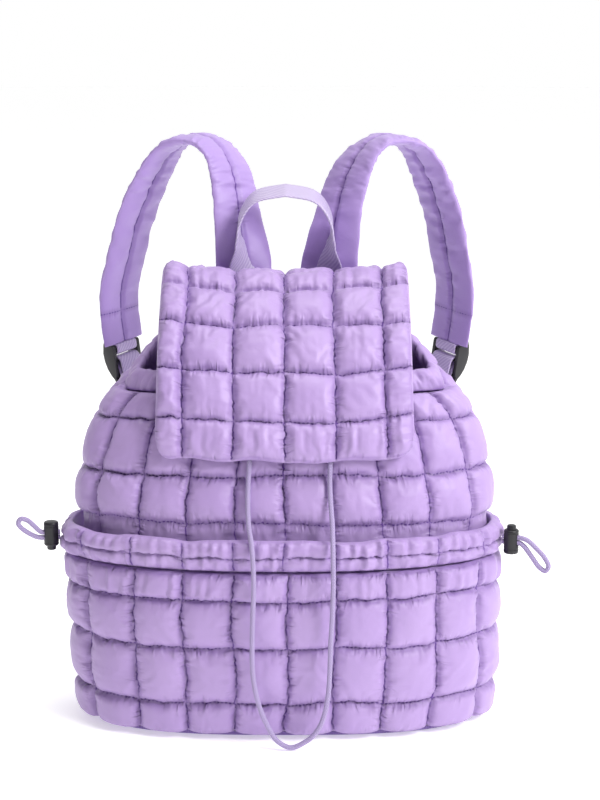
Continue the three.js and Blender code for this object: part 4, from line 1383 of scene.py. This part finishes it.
        def around(bar: Place, degrees: Sequence[float]) -> list[Place]:
            """Follow the webbing round a bar."""
            return [(bar[0] + wrap * math.cos(math.radians(a)), bar[1] + wrap * math.sin(math.radians(a)))
                    for a in degrees]

        def tail(down: float) -> Place:
            """Find a place on the tail that hangs from the lock."""
            return down, -6.2 - self.tail_lean * (down - last[0])

        return [tail(last[0] + self.tail), tail(last[0] + self.tail / 2), tail(last[0]),
                (middle[0] - 0.2, -4.6), (middle[0] - 2.4, -2.4), (middle[0] - wrap - 0.3, 0.4),
                *around(middle, np.linspace(180, 30, 6)), (last[0] - 4.9, 1.9), (last[0] - 3, -0.7),
                *around(last, (250, 280)), (last[0] + 10, -4)]

    def webbing(self, root: Place, shell: ShellForm) -> bpy.types.Object:
        """Make the lower webbing, from its tail through the lock to the bag's back.

        Args:
            root: The y and z of the strap's root.
            shell: The bag's shell.

        Returns:
            The finished piece.
        """
        matrix = np.array(self.end_matrix(root))
        at = np.array([matrix[:3, :3] @ (0, out, -down) + matrix[:3, 3] for down, out in self.lock_route()])
        across_end = self.frames(root, np.array([1.0]))[2][0]
        skin = shell.surface()
        column, level = self.side.sign * self.wall_column, shell.level_at(np.array(self.wall_heights))
        on_wall = skin.place(column, level, self.wall_puff + SEAT_GAP + self.webbing_thickness / 2)
        over = unit(skin.place(column + 0.15, level) - skin.place(column - 0.15, level))
        over *= np.sign(over @ across_end)[:, None]
        shares = np.array([0.08, 0.2, 0.4, 0.6, 0.8])[:, None]
        across = np.vstack([np.tile(across_end, (len(at), 1)),
                            across_end + (over[0] - across_end) * shares, over])
        at = np.vstack([at, at[-1] + (on_wall[0] - at[-1]) * shares, on_wall])
        fine = np.linspace(0, len(at) - 1, 6 * len(at))
        widths = np.stack([np.interp(fine, np.arange(len(at)), across[:, k]) for k in range(3)], axis=1)
        piece = band(f"strap_webbing_{self.side.value}_webbing", curve_at(at, fine), widths,
                     self.webbing_width, self.webbing_thickness)
        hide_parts(f"strap_webbing_{self.side.value}")
        return piece

    def lock(self) -> bpy.types.Object:
        """Make the buckle: the frame's own form with its moulded edges rounded.

        Returns:
            The finished piece.
        """
        name = f"ladder_lock_{self.side.value}"
        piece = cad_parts[name].copy()
        piece.data = piece.data.copy()
        piece.parent = None
        for key in list(piece.keys()):
            del piece[key]
        piece.name = name + "_moulding"
        bpy.context.scene.collection.objects.link(piece)
        select_only(piece)
        bpy.ops.object.mode_set(mode="EDIT")
        bpy.ops.mesh.select_all(action="SELECT")
        bpy.ops.mesh.remove_doubles(threshold=0.00002)
        bpy.ops.mesh.dissolve_limited(angle_limit=math.radians(2))
        bpy.ops.mesh.normals_make_consistent(inside=False)
        bpy.ops.object.mode_set(mode="OBJECT")
        apply_modifier(piece, "BEVEL", width=0.55 * MM, segments=3, limit_method="ANGLE",
                       angle_limit=math.radians(28), use_clamp_overlap=True)
        select_only(piece)
        bpy.ops.object.shade_smooth_by_angle(angle=math.radians(40))
        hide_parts(name)
        return piece


# Cords and their locks

@dataclass(frozen=True)
class Drawcord:
    """Long limp cord that closes the mouth and hangs down the front."""

    diameter: float = 4.0
    route: tuple = (
        (-27, -27.9, 280), (-27, -32, 278.5), (-27, -36, 272), (-27.2, -42, 262), (-27.3, -50, 246),
        (-27, -57.2, 230), (-28, -62.5, 212), (-28.4, -71, 194), (-27.4, -80, 177), (-25.2, -91.5, 166.5),
        (-23.8, -97.5, 150), (-23.6, -98.5, 130), (-24.4, -98, 110), (-25, -98, 86), (-24.4, -97.5, 62),
        (-20.5, -97, 40), (-13.5, -96.5, 21), (-5.5, -96.8, 8), (5, -97, 2.8), (15.5, -96.8, 7),
        (23.8, -96.5, 14), (30, -96.6, 26), (33.6, -97, 43), (35.1, -97.6, 63), (35.8, -98, 88),
        (37, -98.5, 111), (37.7, -98.5, 136), (37.6, -97, 152), (37.4, -91.5, 166.5), (37.2, -80, 178),
        (36, -71, 194), (35.3, -62.5, 210), (36, -57.2, 228), (36, -50, 246), (36, -42, 262),
        (36, -36, 272), (36, -32, 278.5), (36, -27.4, 280))

    def build(self) -> bpy.types.Object:
        """Make the cord.

        Returns:
            The finished piece.
        """
        path = curve_points(np.array(self.route, float), 1.6)
        piece = cord_mesh("drawcord_braid", path, self.diameter / 2)
        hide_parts("drawcord")
        return piece


@dataclass
class PocketCord:
    """Short cord loop at one end of the pocket's hem, with its spring lock.

    route gives pairs of a distance out of the hem and a height. barrel and button are round
    profiles of radius and height, from one end face to the other. Each way gives the lowest and
    the highest height of the hole for the cords.
    """

    side: Side
    column: float
    button_up: int
    route: tuple
    diameter: float = 4.0
    lock_standoff: float = 7.5
    gathers: int = 4
    gather_shrink: float = 0.86
    hem_reach: float = 1.96548
    facets: int = 48
    way_width: float = 4.7
    way_length: float = 24.0
    barrel_way: tuple = (-4.5, 4.5)
    button_way: tuple = (-4.5, 7.5)
    barrel: tuple = ((4.4, -11.3), (5.4, -10.9), (5.9, -10.0), (6, -9.2), (6, -7.9), (5.7, -7.7), (5.7, -7.1),
                     (6, -6.9), (6, 5.6), (5.7, 5.8), (5.7, 6.4), (6, 6.6), (6, 7.4), (5.75, 8.1), (5.2, 8.5),
                     (4.3, 8.5), (4.0, 8.2), (4.0, -9.6))
    button: tuple = ((3.3, -6.3), (3.7, -5.9), (3.7, 11.2), (3.4, 12.0), (2.6, 12.4), (1.4, 12.5))

    def seat(self, shell: ShellForm, pocket: PocketForm) -> tuple[Array, Array]:
        """Find the cord's seat on the hem.

        Args:
            shell: The bag's shell.
            pocket: The front pocket.

        Returns:
            The seat, and the level direction out of it.
        """
        middle = pocket.hem_middle(shell)
        level = shell.level_at(middle)
        skin = shell.surface()
        out = unit(skin.outward(self.column, level) * (1, 1, 0))
        odd = round((self.column + pocket.half_span) * self.gathers) % 2
        half = pocket.hem_thickness / 2 * (self.gather_shrink if odd else 1)
        reach = pocket.standoff(self.column, middle, shell) + half * self.hem_reach
        return skin.place(self.column, level) + out * reach, out

    def cord(self, shell: ShellForm, pocket: PocketForm, riders: list) -> bpy.types.Object:
        """Make the cord loop.

        Args:
            shell: The bag's shell.
            pocket: The front pocket.
            riders: The lock and its button, which sit on the cord; not used.

        Returns:
            The finished piece.
        """
        face, out = self.seat(shell, pocket)
        points = [face + out * (away + SEAT_GAP) + (0, 0, rise) for away, rise in self.route]
        path = curve_points(np.array(points), 0.8)
        piece = cord_mesh(f"pocket_cord_{self.side.value}_braid", path, self.diameter / 2)
        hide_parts(f"pocket_cord_{self.side.value}")
        return piece

    def _turned(self, name: str, profile: Sequence[Place], way: Place) -> bpy.types.Object:
        """Draw a disc out along a round profile and cut the cords' way through it.

        Args:
            name: The piece's name.
            profile: Pairs of radius and height, from one end face to the other.
            way: Lowest and highest height of the way through.

        Returns:
            The new object, at the lock's own place.
        """
        bpy.ops.object.select_all(action="DESELECT")
        radius, height = profile[0]
        bpy.ops.mesh.primitive_circle_add(vertices=self.facets, radius=radius * MM, fill_type="NGON",
                                          location=(0, 0, height * MM))
        piece = bpy.context.object
        piece.name = piece.data.name = name
        bpy.ops.object.transform_apply(location=True)
        bpy.ops.object.mode_set(mode="EDIT")
        bpy.ops.mesh.select_all(action="SELECT")
        for next_radius, next_height in profile[1:]:
            share, rise = next_radius / radius, next_height - height
            bpy.ops.mesh.extrude_region_move(TRANSFORM_OT_translate={"value": (0, 0, rise * MM)})
            bpy.ops.transform.resize(value=(share, share, 1), center_override=(0, 0, next_height * MM))
            radius, height = next_radius, next_height
        bpy.ops.mesh.select_all(action="SELECT")
        bpy.ops.mesh.normals_make_consistent(inside=False)
        bpy.ops.object.mode_set(mode="OBJECT")
        bpy.ops.object.select_all(action="DESELECT")
        bpy.ops.mesh.primitive_cube_add(size=1)
        cutter = bpy.context.object
        cutter.scale = (self.way_length * MM, self.way_width * MM, (way[1] - way[0]) * MM)
        cutter.location = (0, 0, (way[0] + way[1]) / 2 * MM)
        bpy.ops.object.transform_apply(location=True, scale=True)
        apply_modifier(piece, "BOOLEAN", object=cutter, operation="DIFFERENCE", solver="EXACT")
        bpy.data.objects.remove(cutter)
        select_only(piece)
        bpy.ops.object.shade_smooth_by_angle(angle=math.radians(35))
        return piece

    def lock(self, shell: ShellForm, pocket: PocketForm) -> list[bpy.types.Object]:
        """Make the lock's barrel and its sprung button.

        Args:
            shell: The bag's shell.
            pocket: The front pocket.

        Returns:
            The barrel and the button.
        """
        face, out = self.seat(shell, pocket)
        place = (face + out * self.lock_standoff) * MM
        across = np.cross([0.0, 0, 1], out) * self.button_up
        axis = (0, 0, self.button_up)
        rows = [[float(column[k]) for column in (out, across, axis, place)] for k in range(3)]
        matrix = Matrix(rows + [[0, 0, 0, 1]])
        pieces = []
        for title, profile, way in (("cord_lock", self.barrel, self.barrel_way),
                                    ("lock_button", self.button, self.button_way)):
            piece = self._turned(f"{title}_{self.side.value}_moulding", profile, way)
            piece.data.transform(matrix)
            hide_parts(f"{title}_{self.side.value}")
            pieces.append(piece)
        return pieces


# Finishes

def linear(code: str) -> tuple[float, float, float, float]:
    """Turn an sRGB hex colour into linear red, green, blue and alpha."""
    values = [int(code[i:i + 2], 16) / 255 for i in (1, 3, 5)]
    return (*[v / 12.92 if v <= 0.04045 else ((v + 0.055) / 1.055) ** 2.4 for v in values], 1.0)


def add_node(tree: bpy.types.NodeTree, kind: str, links: dict | None = None, **settings) -> bpy.types.Node:
    """Add a node with its settings and links.

    Args:
        tree: The material's node tree.
        kind: The node's type name.
        links: Input names or numbers, with a value or an output socket for each.
        **settings: Properties of the node.

    Returns:
        The new node.
    """
    node = tree.nodes.new(kind)
    for name, value in settings.items():
        setattr(node, name, value)
    for name, value in (links or {}).items():
        if isinstance(value, bpy.types.NodeSocket):
            tree.links.new(value, node.inputs[name])
        else:
            node.inputs[name].default_value = value
    return node


def noise_scale(size: float) -> float:
    """Scale that gives a noise texture patches of a size in millimetres."""
    return 1 / (size * MM)


def wave_scale(period: float) -> float:
    """Scale that gives a wave texture straight bands of a period in millimetres."""
    return 2 * math.pi / (20 * period * MM)


def new_material(name: str, **sockets) -> tuple[bpy.types.Material, bpy.types.NodeTree, bpy.types.Node]:
    """Start a material with constants on its shader's own sockets.

    Args:
        name: The material's name.
        **sockets: Values by the sockets' names, with underscores for their blanks.

    Returns:
        The material, its node tree and its shader.
    """
    material = bpy.data.materials.new(name)
    material.use_nodes = True
    tree = material.node_tree
    shader = tree.nodes["Principled BSDF"]
    for socket, value in sockets.items():
        shader.inputs[socket.replace("_", " ")].default_value = value
    return material, tree, shader


@dataclass(frozen=True)
class DownproofNylon:
    """Nylon taffeta, calendered so that down stays in: tight, smooth and satin.

    The eye sees broad soft highlights, faint creases that run out from the stitching, and thin
    dark lines where the seams draw in; these lines are painted, as the seams' thread together with
    painted shade of the seam's valley, and painted shade also darkens the cloth beside each seam.
    Sizes are in millimetres. The threads of such cloth are about 0.1 mm apart and don't show, so
    they are left out. The seams' thread is drawn about three times as thick as it is, so that it
    shows.
    """

    name: str = "Calendered nylon taffeta"
    light: str = "#b79dcf"
    deep: str = "#a488c1"
    # Colour of the seams' thread, also used for the painted shade in and beside the seams.
    thread_and_shade: str = "#5a3489"
    roughness: float = 0.47
    tone_patch: float = 62.5
    gloss_spread: float = 0.05
    seam_width: float = 0.95
    # Reach, in millimetres, of the painted shade beside each seam.
    seam_shade: float = 6.0
    stitch: float = 3.2
    sunk_patch: float = 5.882
    crease: float = 0.95
    crease_length: float = 16.667
    crease_width: float = 5.0
    crease_reach: float = 11.0
    crowd_patch: float = 16.667
    dimple: float = 7.692

    def _thread_and_shade_line(self, tree: bpy.types.NodeTree, place: bpy.types.NodeSocket, pattern: bpy.types.NodeSocket,
                seams: bpy.types.Node) -> bpy.types.NodeSocket:
        """Draw the seams' thread together with painted shade of the seam's valley: dashed stitch by stitch
        along the rows, and sunk in places.

        Args:
            tree: The material's node tree.
            place: Object coordinates.
            pattern: The cloth's own coordinates.
            seams: Distances from the columns' and from the rows' seams.

        Returns:
            Where the thread and the painted shade of the seam show.
        """
        stitches = add_node(tree, "ShaderNodeTexWave", {
            "Vector": pattern, "Distortion": 1.2, "Scale": wave_scale(self.stitch)}, bands_direction="X")
        dashes = add_node(tree, "ShaderNodeMapRange", {
            "Value": stitches.outputs["Fac"], "From Min": 0.25, "From Max": 0.7, "To Min": 0.3})
        lines = [add_node(tree, "ShaderNodeMapRange", {
            "Value": seams.outputs[axis], "From Min": 0.2 * self.seam_width * MM,
            "From Max": self.seam_width * MM, "To Min": 1.0, "To Max": 0.0},
            interpolation_type="SMOOTHSTEP").outputs[0] for axis in (0, 1)]
        dashed = add_node(tree, "ShaderNodeMath", {0: lines[1], 1: dashes.outputs[0]}, operation="MULTIPLY")
        line = add_node(tree, "ShaderNodeMath", {0: lines[0], 1: dashed.outputs[0]}, operation="MAXIMUM")
        sunk = add_node(tree, "ShaderNodeTexNoise", {
            "Vector": place, "Scale": noise_scale(self.sunk_patch), "Detail": 1.0})
        seen = add_node(tree, "ShaderNodeMapRange", {
            "Value": sunk.outputs["Fac"], "From Min": 0.36, "From Max": 0.56, "To Min": 0.3})
        return add_node(tree, "ShaderNodeMath", {0: line.outputs[0], 1: seen.outputs[0]},
                        operation="MULTIPLY").outputs[0]

    def _creases(self, tree: bpy.types.NodeTree, place: bpy.types.NodeSocket, pattern: bpy.types.NodeSocket,
                 seams: bpy.types.Node) -> bpy.types.NodeSocket:
        """Raise creases that run out from the seams, crowded in some places and few in others.

        Args:
            tree: The material's node tree.
            place: Object coordinates.
            pattern: The cloth's own coordinates.
            seams: Distances from the columns' and from the rows' seams.

        Returns:
            The creases' height.
        """
        along, across = noise_scale(self.crease_length), noise_scale(self.crease_width)
        patches = add_node(tree, "ShaderNodeTexNoise", {
            "Vector": place, "Scale": noise_scale(self.crowd_patch), "Detail": 1.0})
        crowded = add_node(tree, "ShaderNodeMapRange", {
            "Value": patches.outputs["Fac"], "From Min": 0.4, "From Max": 0.62, "To Min": 0.12})
        heights = []
        for axis, stretch in ((0, (along, across, 1.0)), (1, (across, along, 1.0))):
            drawn = add_node(tree, "ShaderNodeVectorMath", {0: pattern, 1: stretch}, operation="MULTIPLY")
            noise = add_node(tree, "ShaderNodeTexNoise", {
                "Vector": drawn.outputs[0], "Scale": 1.0, "Detail": 1.5, "Distortion": 0.5})
            folds = add_node(tree, "ShaderNodeMapRange", {
                "Value": noise.outputs["Fac"], "From Min": 0.35, "From Max": 0.65},
                interpolation_type="SMOOTHSTEP")
            fade = add_node(tree, "ShaderNodeMapRange", {
                "Value": seams.outputs[axis], "From Max": self.crease_reach * MM, "To Min": 1.0,
                "To Max": 0.0}, interpolation_type="SMOOTHERSTEP")
            near = add_node(tree, "ShaderNodeMath", {0: folds.outputs[0], 1: fade.outputs[0]},
                            operation="MULTIPLY")
            heights.append(add_node(tree, "ShaderNodeMath", {0: near.outputs[0], 1: crowded.outputs[0]},
                                    operation="MULTIPLY").outputs[0])
        return add_node(tree, "ShaderNodeMath", {0: heights[0], 1: heights[1]}, operation="ADD").outputs[0]

    def material(self) -> bpy.types.Material:
        """Make the material.

        Returns:
            The material.
        """
        material, tree, shader = new_material(self.name, Sheen_Weight=0.12, Sheen_Roughness=0.45)
        place = add_node(tree, "ShaderNodeTexCoord").outputs["Object"]
        pattern = add_node(tree, "ShaderNodeUVMap", uv_map="cloth").outputs[0]
        seams = add_node(tree, "ShaderNodeSeparateXYZ", {
            0: add_node(tree, "ShaderNodeUVMap", uv_map="seams").outputs[0]})
        thread_and_shade = self._thread_and_shade_line(tree, place, pattern, seams)
        creases = self._creases(tree, place, pattern, seams)
        tone = add_node(tree, "ShaderNodeTexNoise", {
            "Vector": place, "Scale": noise_scale(self.tone_patch), "Detail": 2.0})
        cloth = add_node(tree, "ShaderNodeMix", {
            0: tone.outputs["Fac"], 6: linear(self.deep), 7: linear(self.light)}, data_type="RGBA")
        # Painted shade: within seam_shade of every seam the cloth colour is pulled towards the thread colour,
        # standing in for the shade in the seam valleys.
        nearest = add_node(tree, "ShaderNodeMath", {0: seams.outputs[0], 1: seams.outputs[1]},
                           operation="MINIMUM")
        painted_seam_shade = add_node(tree, "ShaderNodeMapRange", {
            "Value": nearest.outputs[0], "From Max": self.seam_shade * MM, "To Min": 0.26, "To Max": 0.0},
            interpolation_type="SMOOTHERSTEP")
        shaded_near_seams = add_node(tree, "ShaderNodeMix", {
            0: painted_seam_shade.outputs[0], 6: cloth.outputs[2], 7: linear(self.thread_and_shade)}, data_type="RGBA")
        # The seam line is drawn in this colour as the thread and painted shade of the seam's valley.
        sewn = add_node(tree, "ShaderNodeMix", {0: thread_and_shade, 6: shaded_near_seams.outputs[2], 7: linear(self.thread_and_shade)},
                        data_type="RGBA")
        tree.links.new(sewn.outputs[2], shader.inputs["Base Color"])
        gloss = add_node(tree, "ShaderNodeMapRange", {
            "Value": tone.outputs["Fac"], "To Min": self.roughness - self.gloss_spread,
            "To Max": self.roughness + self.gloss_spread})
        tree.links.new(gloss.outputs[0], shader.inputs["Roughness"])
        soft = add_node(tree, "ShaderNodeTexNoise", {
            "Vector": place, "Scale": noise_scale(self.dimple), "Detail": 2.0, "Distortion": 0.8})
        first = add_node(tree, "ShaderNodeBump", {
            "Height": soft.outputs["Fac"], "Strength": 0.16, "Distance": 1.5 * MM})
        bump = add_node(tree, "ShaderNodeBump", {
            "Height": creases, "Strength": self.crease, "Distance": 1.4 * MM, "Normal": first.outputs[0]})
        tree.links.new(bump.outputs[0], shader.inputs["Normal"])
        return material


@dataclass(frozen=True)
class SatinWebbing:
    """Polyester webbing woven like a seat belt: fine slanting ribs with a silky light on them.

    Sizes are in millimetres. Real yarns are about 0.4 mm apart, and the ribs about 1.5 mm. Both
    are drawn more than twice as coarse, so that they show.
    """

    name: str = "Satin polyester webbing"
    light: str = "#d8cfe4"
    deep: str = "#af9ec7"
    yarn: float = 0.9327
    rib: float = 3.7306

    def material(self) -> bpy.types.Material:
        """Make the material.

        Returns:
            The material.
        """
        material, tree, shader = new_material(self.name, Roughness=0.34, Sheen_Weight=0.3,
                                              Sheen_Roughness=0.35)
        pattern = add_node(tree, "ShaderNodeUVMap", uv_map="cloth").outputs[0]
        # Slanting bands are twice as far apart along the webbing as straight ones.
        ribs = add_node(tree, "ShaderNodeTexWave", {
            "Vector": pattern, "Scale": wave_scale(self.rib / 2), "Distortion": 0.6, "Detail": 1.0},
            bands_direction="DIAGONAL")
        yarns = add_node(tree, "ShaderNodeTexWave", {"Vector": pattern, "Scale": wave_scale(self.yarn)},
                         bands_direction="X")
        weave = add_node(tree, "ShaderNodeMath", {0: ribs.outputs["Fac"], 1: yarns.outputs["Fac"]},
                         operation="MULTIPLY").outputs[0]
        colour = add_node(tree, "ShaderNodeMix", {0: weave, 6: linear(self.deep), 7: linear(self.light)},
                          data_type="RGBA")
        tree.links.new(colour.outputs[2], shader.inputs["Base Color"])
        bump = add_node(tree, "ShaderNodeBump", {"Height": weave, "Strength": 0.5, "Distance": 0.3 * MM})
        tree.links.new(bump.outputs[0], shader.inputs["Normal"])
        return material


@dataclass(frozen=True)
class BraidedCord:
    """Round polyester braid over a soft core: matt, with a fine herringbone of yarns.

    Real yarns are about 0.7 mm apart. They are drawn wider, in millimetres, so that they show.
    """

    name: str = "Braided polyester cord"
    light: str = "#bdaed1"
    deep: str = "#9a89b5"
    yarn: float = 1.6535
    slant: float = 0.72

    def material(self) -> bpy.types.Material:
        """Make the material.

        Returns:
            The material.
        """
        material, tree, shader = new_material(self.name, Roughness=0.72, Sheen_Weight=0.2)
        pattern = add_node(tree, "ShaderNodeUVMap", uv_map="cloth").outputs[0]
        turned = []
        for slant in (self.slant, -self.slant):
            bent = add_node(tree, "ShaderNodeMapping", {"Vector": pattern, "Rotation": (0, 0, slant)})
            turned.append(add_node(tree, "ShaderNodeTexWave", {
                "Vector": bent.outputs[0], "Scale": wave_scale(self.yarn)},
                bands_direction="X").outputs["Fac"])
        yarns = add_node(tree, "ShaderNodeMath", {0: turned[0], 1: turned[1]},
                         operation="MULTIPLY").outputs[0]
        colour = add_node(tree, "ShaderNodeMix", {0: yarns, 6: linear(self.deep), 7: linear(self.light)},
                          data_type="RGBA")
        tree.links.new(colour.outputs[2], shader.inputs["Base Color"])
        bump = add_node(tree, "ShaderNodeBump", {"Height": yarns, "Strength": 0.6, "Distance": 0.3 * MM})
        tree.links.new(bump.outputs[0], shader.inputs["Normal"])
        return material


@dataclass(frozen=True)
class MouldedAcetal:
    """Black acetal as buckles are moulded in: even, a little waxy, with a fine spark-eroded grain.

    The real grain is about 0.05 mm. It is drawn coarser, in millimetres, so that it shows.
    """

    name: str = "Black moulded acetal"
    colour: str = "#141317"
    rubbed: str = "#232127"
    grain: float = 0.3846
    rub_patch: float = 8.333

    def material(self) -> bpy.types.Material:
        """Make the material.

        Returns:
            The material.
        """
        material, tree, shader = new_material(self.name, Specular_IOR_Level=0.5)
        place = add_node(tree, "ShaderNodeTexCoord").outputs["Object"]
        grain = add_node(tree, "ShaderNodeTexNoise", {
            "Vector": place, "Scale": noise_scale(self.grain), "Detail": 1.0})
        rub = add_node(tree, "ShaderNodeTexNoise", {
            "Vector": place, "Scale": noise_scale(self.rub_patch), "Detail": 3.0})
        colour = add_node(tree, "ShaderNodeMix", {
            0: rub.outputs["Fac"], 6: linear(self.colour), 7: linear(self.rubbed)}, data_type="RGBA")
        tree.links.new(colour.outputs[2], shader.inputs["Base Color"])
        gloss = add_node(tree, "ShaderNodeMapRange", {
            "Value": rub.outputs["Fac"], "To Min": 0.3, "To Max": 0.5})
        tree.links.new(gloss.outputs[0], shader.inputs["Roughness"])
        bump = add_node(tree, "ShaderNodeBump", {
            "Height": grain.outputs["Fac"], "Strength": 0.25, "Distance": 0.1 * MM})
        tree.links.new(bump.outputs[0], shader.inputs["Normal"])
        return material


@dataclass(frozen=True)
class OxfordNylon:
    """Plain nylon oxford for the bag's bottom: a visible square weave, duller than the shell.

    Real yarns are about 0.5 mm apart. They are drawn wider, in millimetres, so that they show.
    """

    name: str = "Nylon oxford"
    light: str = "#9a80c2"
    deep: str = "#7d64a6"
    yarn: float = 1.366

    def material(self) -> bpy.types.Material:
        """Make the material.

        Returns:
            The material.
        """
        material, tree, shader = new_material(self.name, Roughness=0.6, Sheen_Weight=0.1)
        place = add_node(tree, "ShaderNodeTexCoord").outputs["Object"]
        yarns = [add_node(tree, "ShaderNodeTexWave", {
            "Vector": place, "Scale": wave_scale(self.yarn), "Distortion": 0.3},
            bands_direction=way).outputs["Fac"] for way in "XY"]
        weave = add_node(tree, "ShaderNodeMath", {0: yarns[0], 1: yarns[1]}, operation="MULTIPLY").outputs[0]
        colour = add_node(tree, "ShaderNodeMix", {0: weave, 6: linear(self.deep), 7: linear(self.light)},
                          data_type="RGBA")
        tree.links.new(colour.outputs[2], shader.inputs["Base Color"])
        bump = add_node(tree, "ShaderNodeBump", {"Height": weave, "Strength": 0.5, "Distance": 0.3 * MM})
        tree.links.new(bump.outputs[0], shader.inputs["Normal"])
        return material


def dress(piece: bpy.types.Object, material: bpy.types.Material, body: str = "root") -> None:
    """Give a piece its material in its only slot, and let it ride on a body.

    Args:
        piece: The piece.
        material: Its material.
        body: The body that it moves with.
    """
    piece.data.materials.clear()
    piece.data.materials.append(material)
    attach(piece, body)
    LOG.info("%s: %d faces, %s", piece.name, len(piece.data.polygons), material.name)


# Floor, light and camera

@dataclass(frozen=True)
class Studio:
    """Pale floor, soft light and the photograph's viewpoint, in millimetres, metres for the lamps."""

    elevation: float = 12.0
    distance: float = 1500.0
    aim: tuple = (12.1, 0.0, 260.8)
    focal_pixels: float = 1861.0
    frame_height: float = 800.0
    floor_glow: float = 0.42
    fibre: float = 1.111
    lamps: tuple = (("key", (1.5, -1.1, 1.5), 0.9, 38), ("top", (0.1, -0.1, 1.9), 0.8, 13))
    lamp_aim: tuple = (0, 0, 0.2)

    def camera(self) -> None:
        """Put the camera at the photograph's angle."""
        data = bpy.data.cameras.new("camera")
        data.lens = data.sensor_width * self.focal_pixels / self.frame_height
        data.clip_start, data.clip_end = 0.05, 50
        camera = bpy.data.objects.new("camera", data)
        tilt = math.radians(self.elevation)
        x, y, z = self.aim
        camera.location = (x * MM, (y - self.distance * math.cos(tilt)) * MM,
                           (z + self.distance * math.sin(tilt)) * MM)
        camera.rotation_euler = (math.pi / 2 - tilt, 0, 0)
        bpy.context.scene.collection.objects.link(camera)
        bpy.context.scene.camera = camera

    def light(self, name: str, place: tuple, size: float, power: float) -> None:
        """Hang a soft area light that faces the bag.

        Args:
            name: The light's name.
            place: Its place in metres.
            size: Its diameter in metres.
            power: Its power in watts.
        """
        data = bpy.data.lights.new(name, "AREA")
        data.shape, data.size, data.energy = "DISK", size, power
        lamp = bpy.data.objects.new(name, data)
        lamp.location = place
        way = Vector(self.lamp_aim) - Vector(place)
        lamp.rotation_euler = way.to_track_quat("-Z", "Y").to_euler()
        bpy.context.scene.collection.objects.link(lamp)

    def floor(self) -> None:
        """Lay the floor: matt paper that glows a little, as a lit backdrop does."""
        bpy.ops.mesh.primitive_circle_add(vertices=96, radius=12, fill_type="NGON")
        floor = bpy.context.object
        floor.name = "floor"
        material, tree, shader = new_material(
            "Matt white paper", Roughness=0.9, Emission_Color=(1, 1, 1, 1), Emission_Strength=self.floor_glow)
        place = add_node(tree, "ShaderNodeTexCoord").outputs["Object"]
        fibre = add_node(tree, "ShaderNodeTexNoise", {"Vector": place, "Scale": noise_scale(self.fibre)})
        colour = add_node(tree, "ShaderNodeMix", {
            0: fibre.outputs["Fac"], 6: linear("#fbfbfb"), 7: linear("#ffffff")}, data_type="RGBA")
        tree.links.new(colour.outputs[2], shader.inputs["Base Color"])
        floor.data.materials.append(material)

    def surroundings(self) -> None:
        """Surround the bag with white light that grows weaker towards the front left."""
        world = bpy.data.worlds.new("studio")
        world.use_nodes = True
        tree = world.node_tree
        way = add_node(tree, "ShaderNodeSeparateXYZ", {
            0: add_node(tree, "ShaderNodeTexCoord").outputs["Generated"]})
        aside = add_node(tree, "ShaderNodeMath", {0: way.outputs[0], 1: 0.45, 2: way.outputs[1]},
                         operation="MULTIPLY_ADD")
        glow = add_node(tree, "ShaderNodeMapRange", {
            "Value": aside.outputs[0], "From Min": -0.6, "From Max": 0.7, "To Min": 0.18, "To Max": 1.0})
        tree.nodes["Background"].inputs[0].default_value = (1, 1, 1, 1)
        tree.links.new(glow.outputs[0], tree.nodes["Background"].inputs[1])
        bpy.context.scene.world = world

    def build(self) -> None:
        """Make the floor, the surroundings, the lamps and the camera."""
        self.floor()
        self.surroundings()
        for lamp in self.lamps:
            self.light(*lamp)
        self.camera()
        bpy.context.scene.view_settings.view_transform = "Standard"


def main() -> None:
    """Build and dress the backpack."""
    logging.basicConfig(level=logging.INFO, format="%(name)s: %(message)s", force=True)
    Studio().build()
    nylon, webbing, braid, acetal, oxford = (finish.material() for finish in (
        DownproofNylon(), SatinWebbing(), BraidedCord(), MouldedAcetal(), OxfordNylon()))
    strap_nylon = DownproofNylon(name="Calendered nylon taffeta of the straps", light="#b096d0",
                                 deep="#a085c2", crease=0.4).material()
    shell, pocket, flap = ShellForm(), PocketForm(), FlapForm()
    dress(Drawcord().build(), braid)
    small_cords = (
        PocketCord(Side.LEFT, -4.75, -1, (
            (0, -2.15), (15, -2.15), (20, -1), (26, 2.5), (31, 6.5), (33.5, 10.5), (31.5, 14),
            (26.5, 13), (20.5, 7.5), (16, 3), (13, 2.15), (0, 2.15))),
        PocketCord(Side.RIGHT, 4.5, 1, (
            (0, 2.15), (15, 2.15), (21, 0.5), (28, -5), (35, -12), (38.5, -19), (36, -23),
            (31, -20.5), (24.5, -12.5), (18, -4.6), (14, -2.15), (0, -2.15))))
    for small in small_cords:
        barrel, button = small.lock(shell, pocket)
        dress(barrel, acetal)
        dress(button, acetal, f"lock_button_{small.side.value}")
        dress(small.cord(shell, pocket, [barrel, button]), braid)
    for wall in PaddedWalls(shell, pocket, flap).build(CLOTH_FRAMES):
        dress(wall, nylon)
    dress(MouthCasing().build(shell), nylon)
    dress(BasePanel().build(shell, pocket), oxford)
    back, top, _ = flap.anchors(shell)
    handle = TopHandle()
    half = handle.thickness / 2
    handle_root = (back + SEAT_GAP + half, top - flap.downs[0] * flap.drop + handle.root_rise)
    dress(handle.build(handle_root), webbing)
    strap_root = (handle_root[0] + half + SEAT_GAP + ShoulderStrap.end_thickness / 2,
                  handle_root[1] + ShoulderStrap.root_rise)
    for side in Side:
        strap = ShoulderStrap(side)
        dress(strap.pad(strap_root), strap_nylon)
        dress(strap.loop(strap_root), webbing)
        dress(strap.webbing(strap_root, shell), webbing)
        dress(strap.lock(), acetal)


if __name__ == "__main__":
    main()
